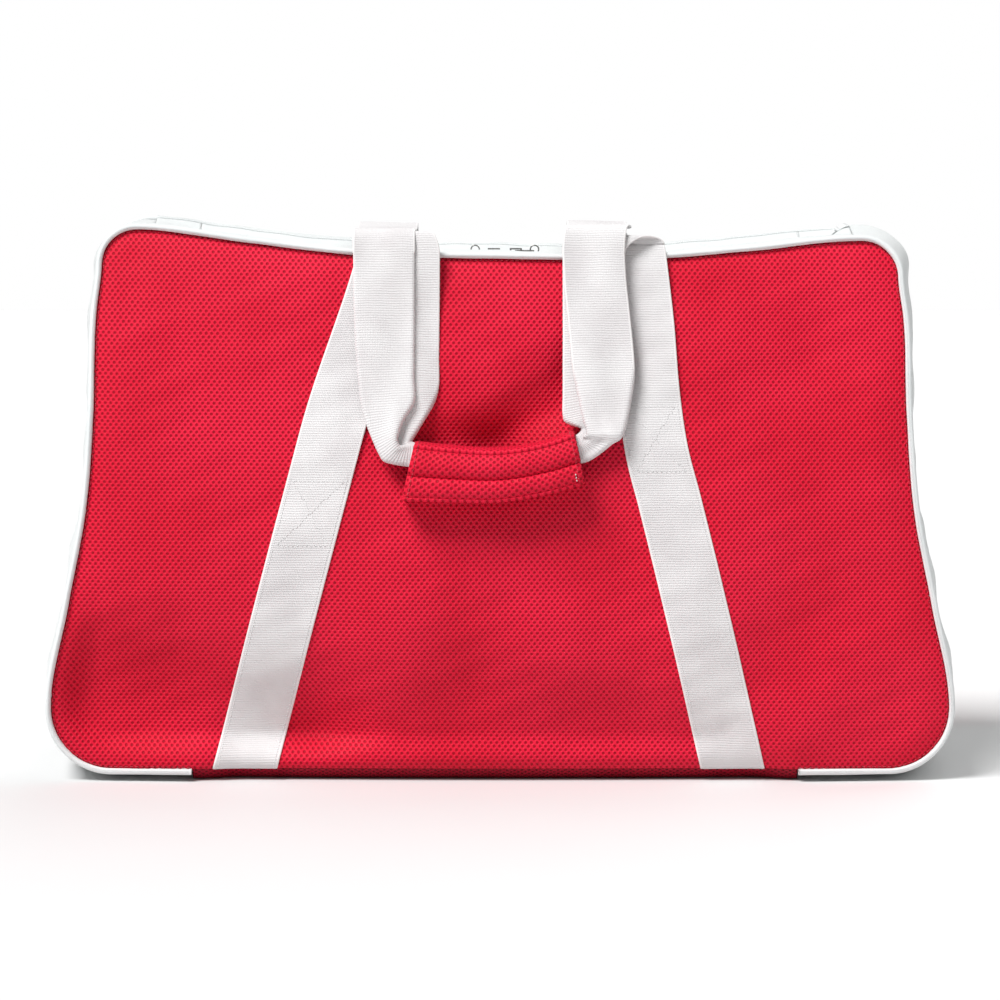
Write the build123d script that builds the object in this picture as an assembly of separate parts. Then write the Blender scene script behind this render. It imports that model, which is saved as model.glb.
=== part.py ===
"""Soft holdall for ice hockey kit: two spacer-mesh walls on a white fabric gusset, a mesh
bottom, a double-ended zipper across the top, and two webbing handles gathered in one grip.

Millimetres. X runs along the bag's length, Y from the front wall to the back wall, Z up.
The origin is the middle of the base, on the surface that the bag stands on.
The front wall faces -Y. Left and right are as seen by someone who looks at the front wall.
"""

import os
from math import atan2, cos, degrees, hypot, radians, sin

from build123d import *

# ---- wall outline, seen from the front (right half, the left half mirrors it) ----
SEAM_Z = 10.0                # height of the seam between a wall and the bottom
TOP_MID_Z = 415.5            # top edge of a wall at the middle of the bag
TOP_POINTS = [(120, 416.8), (200, 424.3)]
TOP_CORNER = (292, 405.5)    # centre of the top corner's arc
TOP_CORNER_R = 28.0
SIDE_POINTS = [(323.5, 370), (325, 290), (330, 218), (344.5, 140)]
LOW_CORNER = (311, 58)       # centre of the bottom corner's arc
LOW_CORNER_R = 48.0

# ---- wall curvature ----
WALL_FOOT_Y = 152.0          # half depth at the bottom seam
WALL_TOP_Y = 92.0            # half depth at the top seam
WALL_BULGE = 24.0            # how far the stuffed wall stands out between those seams
PLAN_RADIUS = 4100.0         # curve of the wall seen from above
WALL_SWEEP = 12.0            # degrees of that curve that the walls are cut from
WALL_ARC = 38.0              # degrees of the wall's vertical curve, likewise
BELOW_FLOOR = 30.0           # that curve starts this far below the floor

# ---- fabric thicknesses ----
MESH = 5.0                   # spacer mesh of the walls and the bottom
WEB = 2.0                    # webbing
GUSSET_IN = 2.0              # gusset's inner face, measured out from the wall outline
GUSSET_OUT = 6.0
GUSSET_EDGE = 3.6            # the gusset's edges lie this far behind the walls' outer faces
CORD = 4.5                   # piping, across
CORD_BACK = 3.4              # piping, how far behind the wall's outer face it reaches
CORD_FRONT = 1.0             # piping, how far in front of that face it stands
BINDING_W = 11.0             # tape that binds each wall's seam on the inside
BINDING_T = 1.1
BINDING_OFF = 0.2            # that tape lies this far behind the wall's inner face
SEAM_GAP = 0.1               # between neighbours that are sewn together

# ---- reach of the shapes that cut others ----
REACH = 200.0                # right through the bag, each way
OUTSIDE = 130.0              # deep enough to clear what stands outside a wall, up to REACH
TOP_ZONE = (350.0, 480.0)    # heights that hold all of the top
BOTTOM_ZONE = (-20.0, 60.0)  # heights that hold all of the bottom
PAST = 1.0                   # cuts go this far past the face that they open

# ---- bottom ----
BOTTOM_X = (-246.0, 238.0)   # ends of the mesh bottom, where the white gusset begins
BOTTOM_ROUND = 8.0
BOARD_T = 3.0
BOARD_INSET = 16.0
BOARD_HALF_DEPTH = 112.0
BOARD_CORNER_R = 20.0

# ---- top and zipper ----
TOP_END_X = 285.0            # seam between the top pieces and the side gussets
FLAP_END_X = 248.0           # half length of the part of the top that opens
MARGIN_Y = 62.0              # fixed margin of the top ends here, and the flap begins
FLAP_T = 2.5
FLAP_EDGE_Y = 13.0
FLAP_EDGE_Z = 413.0
TAPE_Z = 412.0
TAPE_T = 0.8
TAPE_OUTER_Y = 16.0
CHAIN_OUTER_Y = 3.4
CHAIN_INNER_Y = 1.2
CHAIN_Z = (411.2, 414.2)
ZIP_STOP_X = 281.0
ZIP_STOP_LEN = 2.0
ZIP_SLOT = 3.4               # clear space beside the chain's fixed ends
HINGE_GAP = 0.5              # the flap's hinge line lies this far past the margin's edge
TOP_STATIONS = 5             # places where a flap's edge is fitted to the walls' top edge
GAP_X = 2.5                  # between a flap's end and the fixed end of the top

# ---- sliders, pulls and rings ----
SLIDER_X = {"left": -5.0, "right": 13.0}
SLIDER_LEN = 16.0
SLIDER_W = 11.0
SLIDER_CLEAR = 0.4
SLIDER_PLATE = 1.4
WEDGE_X = 3.0                # half length of the wedge that parts the chain
WEDGE_CLEAR = 0.3
ARCH_INSET = 3.0             # the arch that holds the pull starts this far from the slider's ends
ARCH_Y = 1.2                 # half its width
ARCH_T = 1.4                 # its legs
ARCH_ROOF = 1.1
ARCH_ABOVE = 2.2             # its top above the pull's pivot
PULL_PIVOT_Z = 417.3
PULL_LEN = 15.0
PULL_Y = 3.4                 # half its width
PULL_T = 1.0
PULL_ROUND = 0.6
PULL_BAR = 0.7               # half the bar that turns in the arch
PULL_SLOT_Y = 2.3            # half width of the slot round the arch
PULL_SLOT_BACK = 1.5         # the slot ends this far from the slider's end
RING_HOLE_BACK = 2.9         # middle of the ring's hole, from the pull's tip
RING_R = 3.4
RING_WIRE_R = 0.55
RING_HOLE_R = 2.0
RING_UP = 1.05               # the ring's middle stands this far above the flat pull

# ---- straps: middle of the strap at its foot, at the end of its stitching, at the top ----
STRAP_W = 50.0
STRAP_FOOT_X = {"left": -202.0, "right": 184.5}
SEWN_END = {"left": (-136.5, 244.0), "right": (121.0, 303.0)}
FRONT_HEAD_X = {"left": -91.0, "right": 109.0}
FRONT_HANG_X = {"left": -72.6, "right": 75.8}
BACK_HANG_X = {"left": -93.3, "right": 80.6}
RISE_OFF = 1.2               # free webbing lies this far off the wall

# ---- where the handles bend over the top edge ----
AXIS_Y = -94.5
AXIS_Z = 427.0
HANG_LEAN = 15.1             # degrees, because the handles lie on the bulging wall
FRONT_BEND_R = 4.5           # inside radius of the front handle's fold
BACK_BEND_R = 8.0
CROSS_START_Y = AXIS_Y + 18.0

# ---- grip, in the plane of the hanging handles: v up the handle, n out of the wall ----
GRIP_X = (-75.0, 70.0)
GRIP_V = -180.0              # middle of the grip, below the bend
GRIP_HALF = 25.0
WRAP_T = 3.5
CORE_HALF = 18.0
FRONT_N = 4.35               # inner face of the front handle
BACK_N = 7.7
CORE_T = 3.9
WRAP_N = (0.5, 16.6)         # back and front faces of the closed sleeve
LIP_TOP_V = -185.0           # the sleeve's front lip ends here
HOOK_T = 0.9
HOOK_INSET = (3.0, 2.0)      # hook and loop tapes, in from the grip's ends and edges
FLAP_N = 18.8                # inner face of the wrap's flap
FLAP_HINGE = 3.1             # the flap's hinge lies this far behind the sleeve's front face
FLAP_BELOW = 1.0             # the flap reaches this far below the sleeve
CORE_GAP = 0.3               # between the two handles' webbing in the grip

# ---- hanging legs, in the same plane ----
LEG_TOP_V = -3.2             # they start just below the bends
LEG_TAPER_V = {"front": -112.0, "back": -120.0}
OUTER_DROP = 6.0             # their outer edges start to taper this far lower
NECK_UP = 8.0                # where they meet the grip, above the webbing in it
KNEE_OUT = 18.0              # lowest point of the outer edge, beyond the grip's end
KNEE_UP = 4.0                # and above the grip's middle


def outline(grow=0.0):
    """Wall outline in the XZ plane, with every edge moved out by grow."""
    peak = TOP_CORNER[1] + TOP_CORNER_R + grow
    side_x = LOW_CORNER[0] + LOW_CORNER_R + grow
    top = Spline(
        (0, TOP_MID_Z + grow),
        *[(x, z + grow) for x, z in TOP_POINTS],
        (TOP_CORNER[0], peak),
        tangents=((1, 0), (1, 0)),
    )
    corner = CenterArc(TOP_CORNER, TOP_CORNER_R + grow, 0, 90)
    side = Spline(
        (TOP_CORNER[0] + TOP_CORNER_R + grow, TOP_CORNER[1]),
        *[(x + grow, z) for x, z in SIDE_POINTS],
        (side_x, LOW_CORNER[1]),
        tangents=((0, -1), (0, -1)),
    )
    low = CenterArc(LOW_CORNER, LOW_CORNER_R + grow, -90, 90)
    foot = Line((LOW_CORNER[0], SEAM_Z - grow), (0, SEAM_Z - grow))
    right = [top, corner, side, low, foot]
    left = [mirror(edge, about=Plane.YZ) for edge in right]
    return Plane.XZ * make_face(right + left)


def prism(face):
    """A face in the XZ plane, run right through the bag."""
    return extrude(face, amount=REACH, both=True)


def box_between(low, high):
    """Box from its lowest and highest corners."""
    size = [b - a for a, b in zip(low, high)]
    middle = [(a + b) / 2 for a, b in zip(low, high)]
    return Pos(*middle) * Box(*size)


def wall_circle():
    """Centre and radius of the front wall's vertical section, in the YZ plane."""
    dy = WALL_FOOT_Y - WALL_TOP_Y
    dz = TOP_MID_Z - SEAM_Z
    chord = hypot(dy, dz)
    radius = (chord**2 / 4 + WALL_BULGE**2) / (2 * WALL_BULGE)
    back = radius - WALL_BULGE
    mid_y = -(WALL_FOOT_Y + WALL_TOP_Y) / 2
    mid_z = (TOP_MID_Z + SEAM_Z) / 2
    return (mid_y + back * dz / chord, mid_z - back * dy / chord), radius


def wall_band(inner, outer):
    """Front wall's surface of revolution between two distances from its outer face."""
    (cy, cz), radius = wall_circle()
    low = 180 + degrees(atan2(cz + BELOW_FLOOR, cy + WALL_FOOT_Y))
    arcs = [
        CenterArc((cy, cz), radius + offset, low - WALL_ARC, WALL_ARC)
        for offset in (inner, outer)
    ]
    ends = [Line(arcs[0] @ t, arcs[1] @ t) for t in (0, 1)]
    axis_y = PLAN_RADIUS - (WALL_FOOT_Y + WALL_TOP_Y) / 2 - WALL_BULGE
    axis = Axis((0, axis_y, 0), (0, 0, 1))
    section = Plane.YZ * make_face([*arcs, *ends])
    return revolve(section, axis=axis, revolution_arc=WALL_SWEEP).rotate(axis, -WALL_SWEEP / 2)


def to_back(shape):
    """The same shape on the back wall."""
    return mirror(shape, about=Plane.XZ)


def slanted_strip(foot, head, width=STRAP_W):
    """Strip of webbing from foot to head, both (x, z), cut level at each end."""
    slope = hypot(head[0] - foot[0], head[1] - foot[1]) / (head[1] - foot[1])
    half = width / 2 * slope
    corners = [
        (foot[0] - half, foot[1]),
        (foot[0] + half, foot[1]),
        (head[0] + half, head[1]),
        (head[0] - half, head[1]),
    ]
    return Plane.XZ * make_face(Polyline(*corners, close=True))


def sector(center, inner, outer, start, sweep, x_low, x_high):
    """Part of a ring about a line along X, between two radii. Angles go from +Y to +Z."""
    arc_in = CenterArc(center, inner, start, sweep)
    arc_out = CenterArc(center, outer, start, sweep)
    ends = [Line(arc_in @ t, arc_out @ t) for t in (0, 1)]
    face = Plane.YZ * make_face([arc_in, arc_out, *ends])
    return Pos(x_low, 0, 0) * extrude(face, amount=x_high - x_low)


def save(name, shape):
    """Write one piece to its own file."""
    export_step(shape, os.path.join("parts", name + ".step"))


def make_walls():
    """Front and back mesh walls, their piping and the binding inside their seams."""
    front = prism(outline()) & wall_band(-MESH, 0)
    save("front_panel", front)
    save("back_panel", to_back(front))

    cord = (prism(outline(CORD)) - prism(outline(SEAM_GAP))) & wall_band(-CORD_BACK, CORD_FRONT)
    foot = ((BOTTOM_X[0], -REACH, BOTTOM_ZONE[0]), (BOTTOM_X[1], REACH, SEAM_Z + PAST))
    cord = cord - box_between(*foot)
    save("piping_front", cord)
    save("piping_back", to_back(cord))

    binding = prism(outline(-SEAM_GAP)) - prism(outline(-BINDING_W))
    face = -MESH - BINDING_OFF
    binding = binding & wall_band(face - BINDING_T, face)
    save("binding_front", binding)
    save("binding_back", to_back(binding))


def between_walls(shape, depth):
    """What lies inside both walls' outer faces by at least depth."""
    outside = wall_band(-depth, OUTSIDE)
    return shape - outside - to_back(outside)


def make_gusset():
    """White band round the ends of the bag, and the fixed margins of the top."""
    ring = prism(outline(GUSSET_OUT)) - prism(outline(GUSSET_IN))
    ring = between_walls(ring, GUSSET_EDGE)
    top_low, top_high = TOP_ZONE
    top_zone = box_between((-TOP_END_X, -REACH, top_low), (TOP_END_X, REACH, top_high))
    bottom_zone = box_between(
        (BOTTOM_X[0] - SEAM_GAP, -REACH, BOTTOM_ZONE[0]),
        (BOTTOM_X[1] + SEAM_GAP, REACH, BOTTOM_ZONE[1]),
    )
    sides = ring - top_zone - bottom_zone
    for solid in sides.solids():
        save("side_gusset_left" if solid.center().X < 0 else "side_gusset_right", solid)

    inset = TOP_END_X - SEAM_GAP
    margins = ring & box_between((-inset, -REACH, top_low), (inset, REACH, top_high))
    margins = margins - box_between(
        (-TOP_END_X, -MARGIN_Y, top_low), (TOP_END_X, MARGIN_Y, top_high)
    )
    for solid in margins.solids():
        save("top_margin_front" if solid.center().Y < 0 else "top_margin_rear", solid)


def top_height(x):
    """Height of the wall outline's top edge at x."""
    edge = Spline(
        (0, TOP_MID_Z), *TOP_POINTS, (TOP_CORNER[0], TOP_CORNER[1] + TOP_CORNER_R),
        tangents=((1, 0), (1, 0)),
    )
    cut = Line((abs(x), TOP_ZONE[0]), (abs(x), TOP_ZONE[1]))
    return edge.intersect(cut)[0].Y if x else TOP_MID_Z


def top_strip(x_low, x_high, lift, thickness, y):
    """Upright face at y that follows the top edge between two places along the bag."""
    pitch = (x_high - x_low) / (TOP_STATIONS - 1)
    stations = [x_low + pitch * k for k in range(TOP_STATIONS)]
    heights = [top_height(x) + lift for x in stations]
    lower = Spline(*zip(stations, heights))
    upper = Spline(*[(x, z + thickness) for x, z in zip(stations, heights)])
    ends = [Line(lower @ t, upper @ t) for t in (0, 1)]
    return Plane.XZ.offset(-y) * make_face([lower, upper, *ends])


def level_strip(x_low, x_high, z, thickness, y):
    """Upright level face at y."""
    corners = [(x_low, z), (x_high, z), (x_high, z + thickness), (x_low, z + thickness)]
    return Plane.XZ.offset(-y) * make_face(Polyline(*corners, close=True))


def make_flaps():
    """The two halves of the top that open, each with its zipper tape and half the chain."""
    root_y = -(MARGIN_Y - HINGE_GAP)
    flap = loft(
        [
            top_strip(-FLAP_END_X, FLAP_END_X, GUSSET_IN, FLAP_T, root_y),
            level_strip(-FLAP_END_X, FLAP_END_X, FLAP_EDGE_Z, FLAP_T, -FLAP_EDGE_Y),
        ],
        ruled=True,
    )
    tape = box_between(
        (-FLAP_END_X, -TAPE_OUTER_Y, TAPE_Z), (FLAP_END_X, -CHAIN_OUTER_Y, TAPE_Z + TAPE_T)
    )
    chain = box_between(
        (-FLAP_END_X, -CHAIN_OUTER_Y, CHAIN_Z[0]), (FLAP_END_X, -CHAIN_INNER_Y, CHAIN_Z[1])
    )
    for name, shape in (("top_flap", flap), ("zipper_tape", tape), ("zipper_chain", chain)):
        save(name + "_front", shape)
        save(name + "_rear", to_back(shape))


def make_top_ends():
    """Fixed ends of the top, and the ends of the zipper sewn on them."""
    x_in = FLAP_END_X + GAP_X
    x_out = TOP_END_X - SEAM_GAP
    half = MARGIN_Y - SEAM_GAP
    z_in = top_height(x_in) + GUSSET_IN
    z_out = top_height(x_out) + GUSSET_IN
    sections = []
    for x, z_edge, z_mid in ((x_in, z_in, FLAP_EDGE_Z), (x_out, z_out, z_out)):
        low = [(-half, z_edge), (-TAPE_OUTER_Y, z_mid), (TAPE_OUTER_Y, z_mid), (half, z_edge)]
        high = [(y, z + FLAP_T) for y, z in reversed(low)]
        sections.append(Plane.YZ.offset(x) * make_face(Polyline(*low, *high, close=True)))
    end = loft(sections, ruled=True)
    slot_y = CHAIN_OUTER_Y + ZIP_SLOT
    end -= box_between((x_in - PAST, -slot_y, TOP_ZONE[0]), (ZIP_STOP_X, slot_y, TOP_ZONE[1]))
    stop_x = ZIP_STOP_X + ZIP_STOP_LEN
    tape = box_between((x_in, -TAPE_OUTER_Y, TAPE_Z), (stop_x, TAPE_OUTER_Y, TAPE_Z + TAPE_T))
    for side in (-1, 1):
        y_low = min(side * CHAIN_INNER_Y, side * CHAIN_OUTER_Y)
        y_high = max(side * CHAIN_INNER_Y, side * CHAIN_OUTER_Y)
        tape += box_between((x_in, y_low, CHAIN_Z[0]), (ZIP_STOP_X, y_high, CHAIN_Z[1]))
    tape -= box_between(
        (x_in - PAST, -CHAIN_INNER_Y, TOP_ZONE[0]), (ZIP_STOP_X, CHAIN_INNER_Y, TOP_ZONE[1])
    )
    stop = box_between(
        (ZIP_STOP_X, -CHAIN_OUTER_Y, CHAIN_Z[0]), (stop_x, CHAIN_OUTER_Y, CHAIN_Z[1])
    )
    for name, shape in (("top_end", end), ("zipper_end", tape + stop)):
        save(name + "_right", shape)
        save(name + "_left", mirror(shape, about=Plane.YZ))


def make_bottom():
    """Mesh bottom, a shallow tray with rounded edges, and the stiff board that lies in it."""
    x_low, x_high = BOTTOM_X
    top_z = SEAM_Z - SEAM_GAP
    tray = between_walls(box_between((x_low, -REACH, 0), (x_high, REACH, top_z)), 0)
    tray = fillet(tray.faces().sort_by(Axis.Z)[0].edges(), BOTTOM_ROUND)
    hollow = box_between((x_low + MESH, -REACH, MESH), (x_high - MESH, REACH, top_z + PAST))
    save("bottom_panel", tray - between_walls(hollow, MESH))

    half_x = (x_high - x_low) / 2 - BOARD_INSET
    board = RectangleRounded(2 * half_x, 2 * BOARD_HALF_DEPTH, BOARD_CORNER_R)
    middle = ((x_low + x_high) / 2, 0, MESH + SEAM_GAP)
    save("base_board", Pos(*middle) * extrude(board, amount=BOARD_T))


def make_sewn_straps():
    """Webbing sewn to each wall, and the free webbing that rises from it to the top edge."""
    sewn_band = wall_band(SEAM_GAP, SEAM_GAP + WEB)
    rise_band = wall_band(RISE_OFF, RISE_OFF + WEB)
    for side in ("left", "right"):
        end = SEWN_END[side]
        sewn = prism(slanted_strip((STRAP_FOOT_X[side], SEAM_Z), end)) & sewn_band
        save("front_strap_" + side, sewn)
        save("back_strap_" + side, to_back(sewn))
        start = (end[0], end[1] + SEAM_GAP)
        for wall, head_x in (("front", FRONT_HEAD_X[side]), ("back", BACK_HANG_X[side])):
            head = (head_x, AXIS_Z - SEAM_GAP)
            rise = prism(slanted_strip(start, head)) & rise_band
            save(wall + "_rise_" + side, to_back(rise) if wall == "back" else rise)


def make_bends():
    """Webbing that turns over the top edge, and the back handle's run across the top."""
    axis = (AXIS_Y, AXIS_Z)
    half = STRAP_W / 2
    for side in ("left", "right"):
        x = (FRONT_HEAD_X[side] + FRONT_HANG_X[side]) / 2
        fold = sector(axis, FRONT_BEND_R, FRONT_BEND_R + WEB, 0, 180, x - half, x + half)
        save("front_bend_" + side, fold)

        x = BACK_HANG_X[side]
        turn = sector(axis, BACK_BEND_R, BACK_BEND_R + WEB, 90, 90, x - half, x + half)
        level_z = AXIS_Z + BACK_BEND_R
        turn += box_between(
            (x - half, AXIS_Y, level_z), (x + half, CROSS_START_Y - SEAM_GAP, level_z + WEB)
        )
        save("back_bend_" + side, turn)

        edge_y = -AXIS_Y - FRONT_BEND_R - BACK_BEND_R - WEB
        over = sector((edge_y, AXIS_Z), BACK_BEND_R, BACK_BEND_R + WEB, 0, 90, x - half, x + half)
        over += box_between((x - half, CROSS_START_Y, level_z), (x + half, edge_y, level_z + WEB))
        save("back_cross_" + side, over)


def hanging_plane(n=0.0):
    """Plane of the hanging handles, n out from the line that they bend about."""
    lean = radians(HANG_LEAN)
    out = Vector(0, -cos(lean), sin(lean))
    return Plane(origin=Vector(0, AXIS_Y, AXIS_Z) + out * n, x_dir=(1, 0, 0), z_dir=out)


def plate(points, n_low, n_high):
    """Flat piece of a handle from its outline (x, v), between two distances n."""
    face = make_face(Polyline(*points, close=True))
    return extrude(hanging_plane(n_low) * face, amount=n_high - n_low)


def make_handles():
    """Hanging legs of both handles, and the folded webbing inside the grip."""
    low = GRIP_V - CORE_HALF
    high = GRIP_V + CORE_HALF
    for name, hang_x, n in (("front", FRONT_HANG_X, FRONT_N), ("back", BACK_HANG_X, BACK_N)):
        taper_v = LEG_TAPER_V[name]
        for side, sign in (("left", -1), ("right", 1)):
            x_in = hang_x[side] - sign * STRAP_W / 2
            x_out = hang_x[side] + sign * STRAP_W / 2
            grip_x = GRIP_X[0] - SEAM_GAP if side == "left" else GRIP_X[1] + SEAM_GAP
            knee_x = grip_x + sign * KNEE_OUT
            points = [(x_in, LEG_TOP_V), (x_in, taper_v), (grip_x, high + NECK_UP)]
            points += [(grip_x, low), (knee_x, GRIP_V + KNEE_UP)]
            points += [(x_out, taper_v - OUTER_DROP), (x_out, LEG_TOP_V)]
            save(f"{name}_handle_{side}", plate(points, n, n + WEB))
    corners = [(GRIP_X[0], low), (GRIP_X[1], low), (GRIP_X[1], high), (GRIP_X[0], high)]
    save("front_handle_grip", plate(corners, FRONT_N, FRONT_N + CORE_T))
    back_n = FRONT_N + CORE_T + CORE_GAP
    save("back_handle_grip", plate(corners, back_n, back_n + CORE_T))


def grip_section(points):
    """Run an outline (n, v) along the grip."""
    lean = radians(HANG_LEAN)
    origin = Vector(GRIP_X[0], AXIS_Y, AXIS_Z)
    section = Plane(origin=origin, x_dir=(0, -cos(lean), sin(lean)), z_dir=(-1, 0, 0))
    return extrude(section * make_face(points), amount=-(GRIP_X[1] - GRIP_X[0]))


def make_grip():
    """Padded sleeve round the gathered webbing, its closing flap and the hook-and-loop."""
    n_back, n_front = WRAP_N
    low = GRIP_V - GRIP_HALF
    high = GRIP_V + GRIP_HALF
    hinge_n = n_front - FLAP_HINGE
    sleeve = grip_section(Polyline(
        (hinge_n, high), (n_back, high), (n_back, low), (n_front, low), (n_front, LIP_TOP_V),
        (n_front - WRAP_T, LIP_TOP_V), (n_front - WRAP_T, low + WRAP_T),
        (n_back + WRAP_T, low + WRAP_T), (n_back + WRAP_T, high - WRAP_T),
        (hinge_n, high - WRAP_T), close=True,
    ))
    save("grip_wrap", sleeve)

    radius = FLAP_N + WRAP_T - hinge_n - SEAM_GAP
    turn = (hinge_n + SEAM_GAP, high - radius)
    front_n = FLAP_N + WRAP_T
    foot_v = low - FLAP_BELOW
    outer = CenterArc(turn, radius, 0, 90)
    inner = CenterArc(turn, radius - WRAP_T, 0, 90)
    flap = grip_section([
        outer,
        inner,
        Line(outer @ 1, inner @ 1),
        Line(outer @ 0, (front_n, foot_v)),
        Line((front_n, foot_v), (FLAP_N, foot_v)),
        Line((FLAP_N, foot_v), inner @ 0),
    ])
    save("wrap_flap", flap)

    inset_x, inset_v = HOOK_INSET
    x_low, x_high = GRIP_X[0] + inset_x, GRIP_X[1] - inset_x
    v_low, v_high = low + inset_v, LIP_TOP_V - inset_v
    tape = [(x_low, v_low), (x_high, v_low), (x_high, v_high), (x_low, v_high)]
    loop_n = n_front + SEAM_GAP
    hook_n = FLAP_N - SEAM_GAP - HOOK_T
    save("loop_tape", plate(tape, loop_n, loop_n + HOOK_T))
    save("hook_tape", plate(tape, hook_n, hook_n + HOOK_T))


def make_slider(side):
    """One zipper slider, its pull and the ring on the pull. The left one faces -X."""
    half = SLIDER_LEN / 2
    top_z = CHAIN_Z[1] + SLIDER_CLEAR
    low_z = CHAIN_Z[0] - SLIDER_CLEAR
    plate_face = SlotOverall(SLIDER_LEN, SLIDER_W)
    body = Pos(0, 0, top_z) * extrude(plate_face, amount=SLIDER_PLATE)
    body += Pos(0, 0, low_z) * extrude(plate_face, amount=-SLIDER_PLATE)
    wedge_y = CHAIN_INNER_Y - WEDGE_CLEAR
    body += box_between((-WEDGE_X, -wedge_y, low_z), (WEDGE_X, wedge_y, top_z))
    arch_x = half - ARCH_INSET
    arch_top = PULL_PIVOT_Z + ARCH_ABOVE
    body += box_between((-arch_x, -ARCH_Y, top_z), (arch_x, ARCH_Y, arch_top))
    window_x = arch_x - ARCH_T
    window_y = ARCH_Y + PAST
    body -= box_between(
        (-window_x, -window_y, top_z + SLIDER_PLATE), (window_x, window_y, arch_top - ARCH_ROOF)
    )

    hole_x = PULL_LEN - RING_HOLE_BACK
    pull = box_between((-PULL_BAR, -PULL_Y, -PULL_T / 2), (PULL_LEN, PULL_Y, PULL_T / 2))
    pull = fillet(pull.edges().filter_by(Axis.Z), PULL_ROUND)
    pull -= box_between(
        (PULL_BAR, -PULL_SLOT_Y, -PULL_T), (half - PULL_SLOT_BACK, PULL_SLOT_Y, PULL_T)
    )
    pull -= Pos(hole_x, 0, 0) * Cylinder(RING_HOLE_R, 2 * PULL_T)
    ring_out = (RING_R**2 - RING_UP**2) ** 0.5
    ring = Pos(hole_x + ring_out, 0, RING_UP) * Rot(90, 0, 0) * Torus(RING_R, RING_WIRE_R)

    for name, shape, z in (
        ("slider_", body, 0), ("pull_", pull, PULL_PIVOT_Z), ("ring_", ring, PULL_PIVOT_Z)
    ):
        if side == "left":
            shape = mirror(shape, about=Plane.YZ)
        save(name + side, Pos(SLIDER_X[side], 0, z) * shape)


def main():
    """Write every piece into the parts folder."""
    os.makedirs("parts", exist_ok=True)
    make_walls()
    make_gusset()
    make_flaps()
    make_top_ends()
    make_bottom()
    make_sewn_straps()
    make_bends()
    make_handles()
    make_grip()
    for side in ("left", "right"):
        make_slider(side)


main()
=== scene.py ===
import bpy
import numpy as np
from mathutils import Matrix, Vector


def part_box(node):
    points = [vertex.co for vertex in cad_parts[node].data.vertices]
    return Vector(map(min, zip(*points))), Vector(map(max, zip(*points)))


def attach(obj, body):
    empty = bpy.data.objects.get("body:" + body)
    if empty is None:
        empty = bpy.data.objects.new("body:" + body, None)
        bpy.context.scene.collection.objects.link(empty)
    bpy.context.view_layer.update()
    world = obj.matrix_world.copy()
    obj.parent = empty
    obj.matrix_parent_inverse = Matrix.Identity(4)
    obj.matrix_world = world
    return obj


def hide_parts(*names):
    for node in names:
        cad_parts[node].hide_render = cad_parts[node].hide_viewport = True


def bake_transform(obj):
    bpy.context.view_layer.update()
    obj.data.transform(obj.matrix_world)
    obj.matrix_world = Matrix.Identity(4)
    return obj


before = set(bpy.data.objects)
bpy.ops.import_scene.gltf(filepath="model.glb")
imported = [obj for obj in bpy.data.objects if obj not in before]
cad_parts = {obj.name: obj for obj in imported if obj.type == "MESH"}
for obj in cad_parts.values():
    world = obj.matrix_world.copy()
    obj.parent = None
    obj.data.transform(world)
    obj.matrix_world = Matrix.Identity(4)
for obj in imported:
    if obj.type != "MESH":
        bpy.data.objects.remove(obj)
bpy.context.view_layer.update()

# Looks of the hockey holdall: spacer-mesh walls, white gusset and piping, webbing handles with a
# padded grip, and a two-way zipper. Metres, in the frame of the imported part: the front faces -Y.
FRONT, BACK = -1, 1
LEFT, RIGHT = -1, 1
SIDES = {"left": LEFT, "right": RIGHT}
WALLS = {"front": FRONT, "back": BACK}

# ---- wall outline, as the part has it (right half) ----
SEAM_Z = 0.01
TOP_POINTS = [(0, 0.4155), (0.12, 0.4168), (0.2, 0.4243), (0.292, 0.4335)]
TOP_CORNER = (0.292, 0.4055)
TOP_CORNER_R = 0.028
SIDE_POINTS = [
    (0.32, 0.4055), (0.3235, 0.37), (0.325, 0.29), (0.33, 0.218), (0.3445, 0.14), (0.359, 0.058),
]
LOW_CORNER = (0.311, 0.058)
LOW_CORNER_R = 0.048
STEP = 0.002                 # spacing of the outline's points

# ---- wall curvature ----
WALL_FOOT_Y = 0.152
WALL_TOP_Y = 0.092
WALL_BULGE = 0.024
PLAN_RADIUS = 4.1
LOPSIDED = 0.0045            # the left top corner stands this much higher, the right one lower
ROLL = 0.0038                # how far the mesh rolls in at its seams
ROLL_REACH = 0.01
FOOT_ROLL = 0.01           # how much further it rolls under along the bottom
FOOT_REACH = 0.02
MESH_PITCH = (0.0046, 0.0058)  # spacing of the mesh's holes across and up
MESH_HOLE = (0.00098, 0.00105)  # their half sizes
MESH = 0.0042                # thickness of the spacer mesh

# ---- seams ----
PIPING_R = 0.0024
BOTTOM_X = (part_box("bottom_panel")[0].x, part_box("bottom_panel")[1].x)
TOP_END_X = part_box("top_margin_front")[1].x
FLAP_END_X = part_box("top_flap_front")[1].x
ZIP_STOP_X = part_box("zipper_end_right")[1].x
GUSSET_BULGE = 0.011
GUSSET_EDGE_BULGE = 0.0035   # the gusset's bulge at its own two ends
GUSSET_THICK = 0.0016
SEAM_IN = 0.0034             # white cloth meets a wall's seam this far inside the wall's face
BOTTOM_FOLD = 0.0115         # width of the bottom's sloping margin
BOTTOM_EDGE_IN = 0.0046
BOTTOM_THICK = 0.0038
GROUND = 0.0006              # the bottom mesh lies this far above the floor

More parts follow.
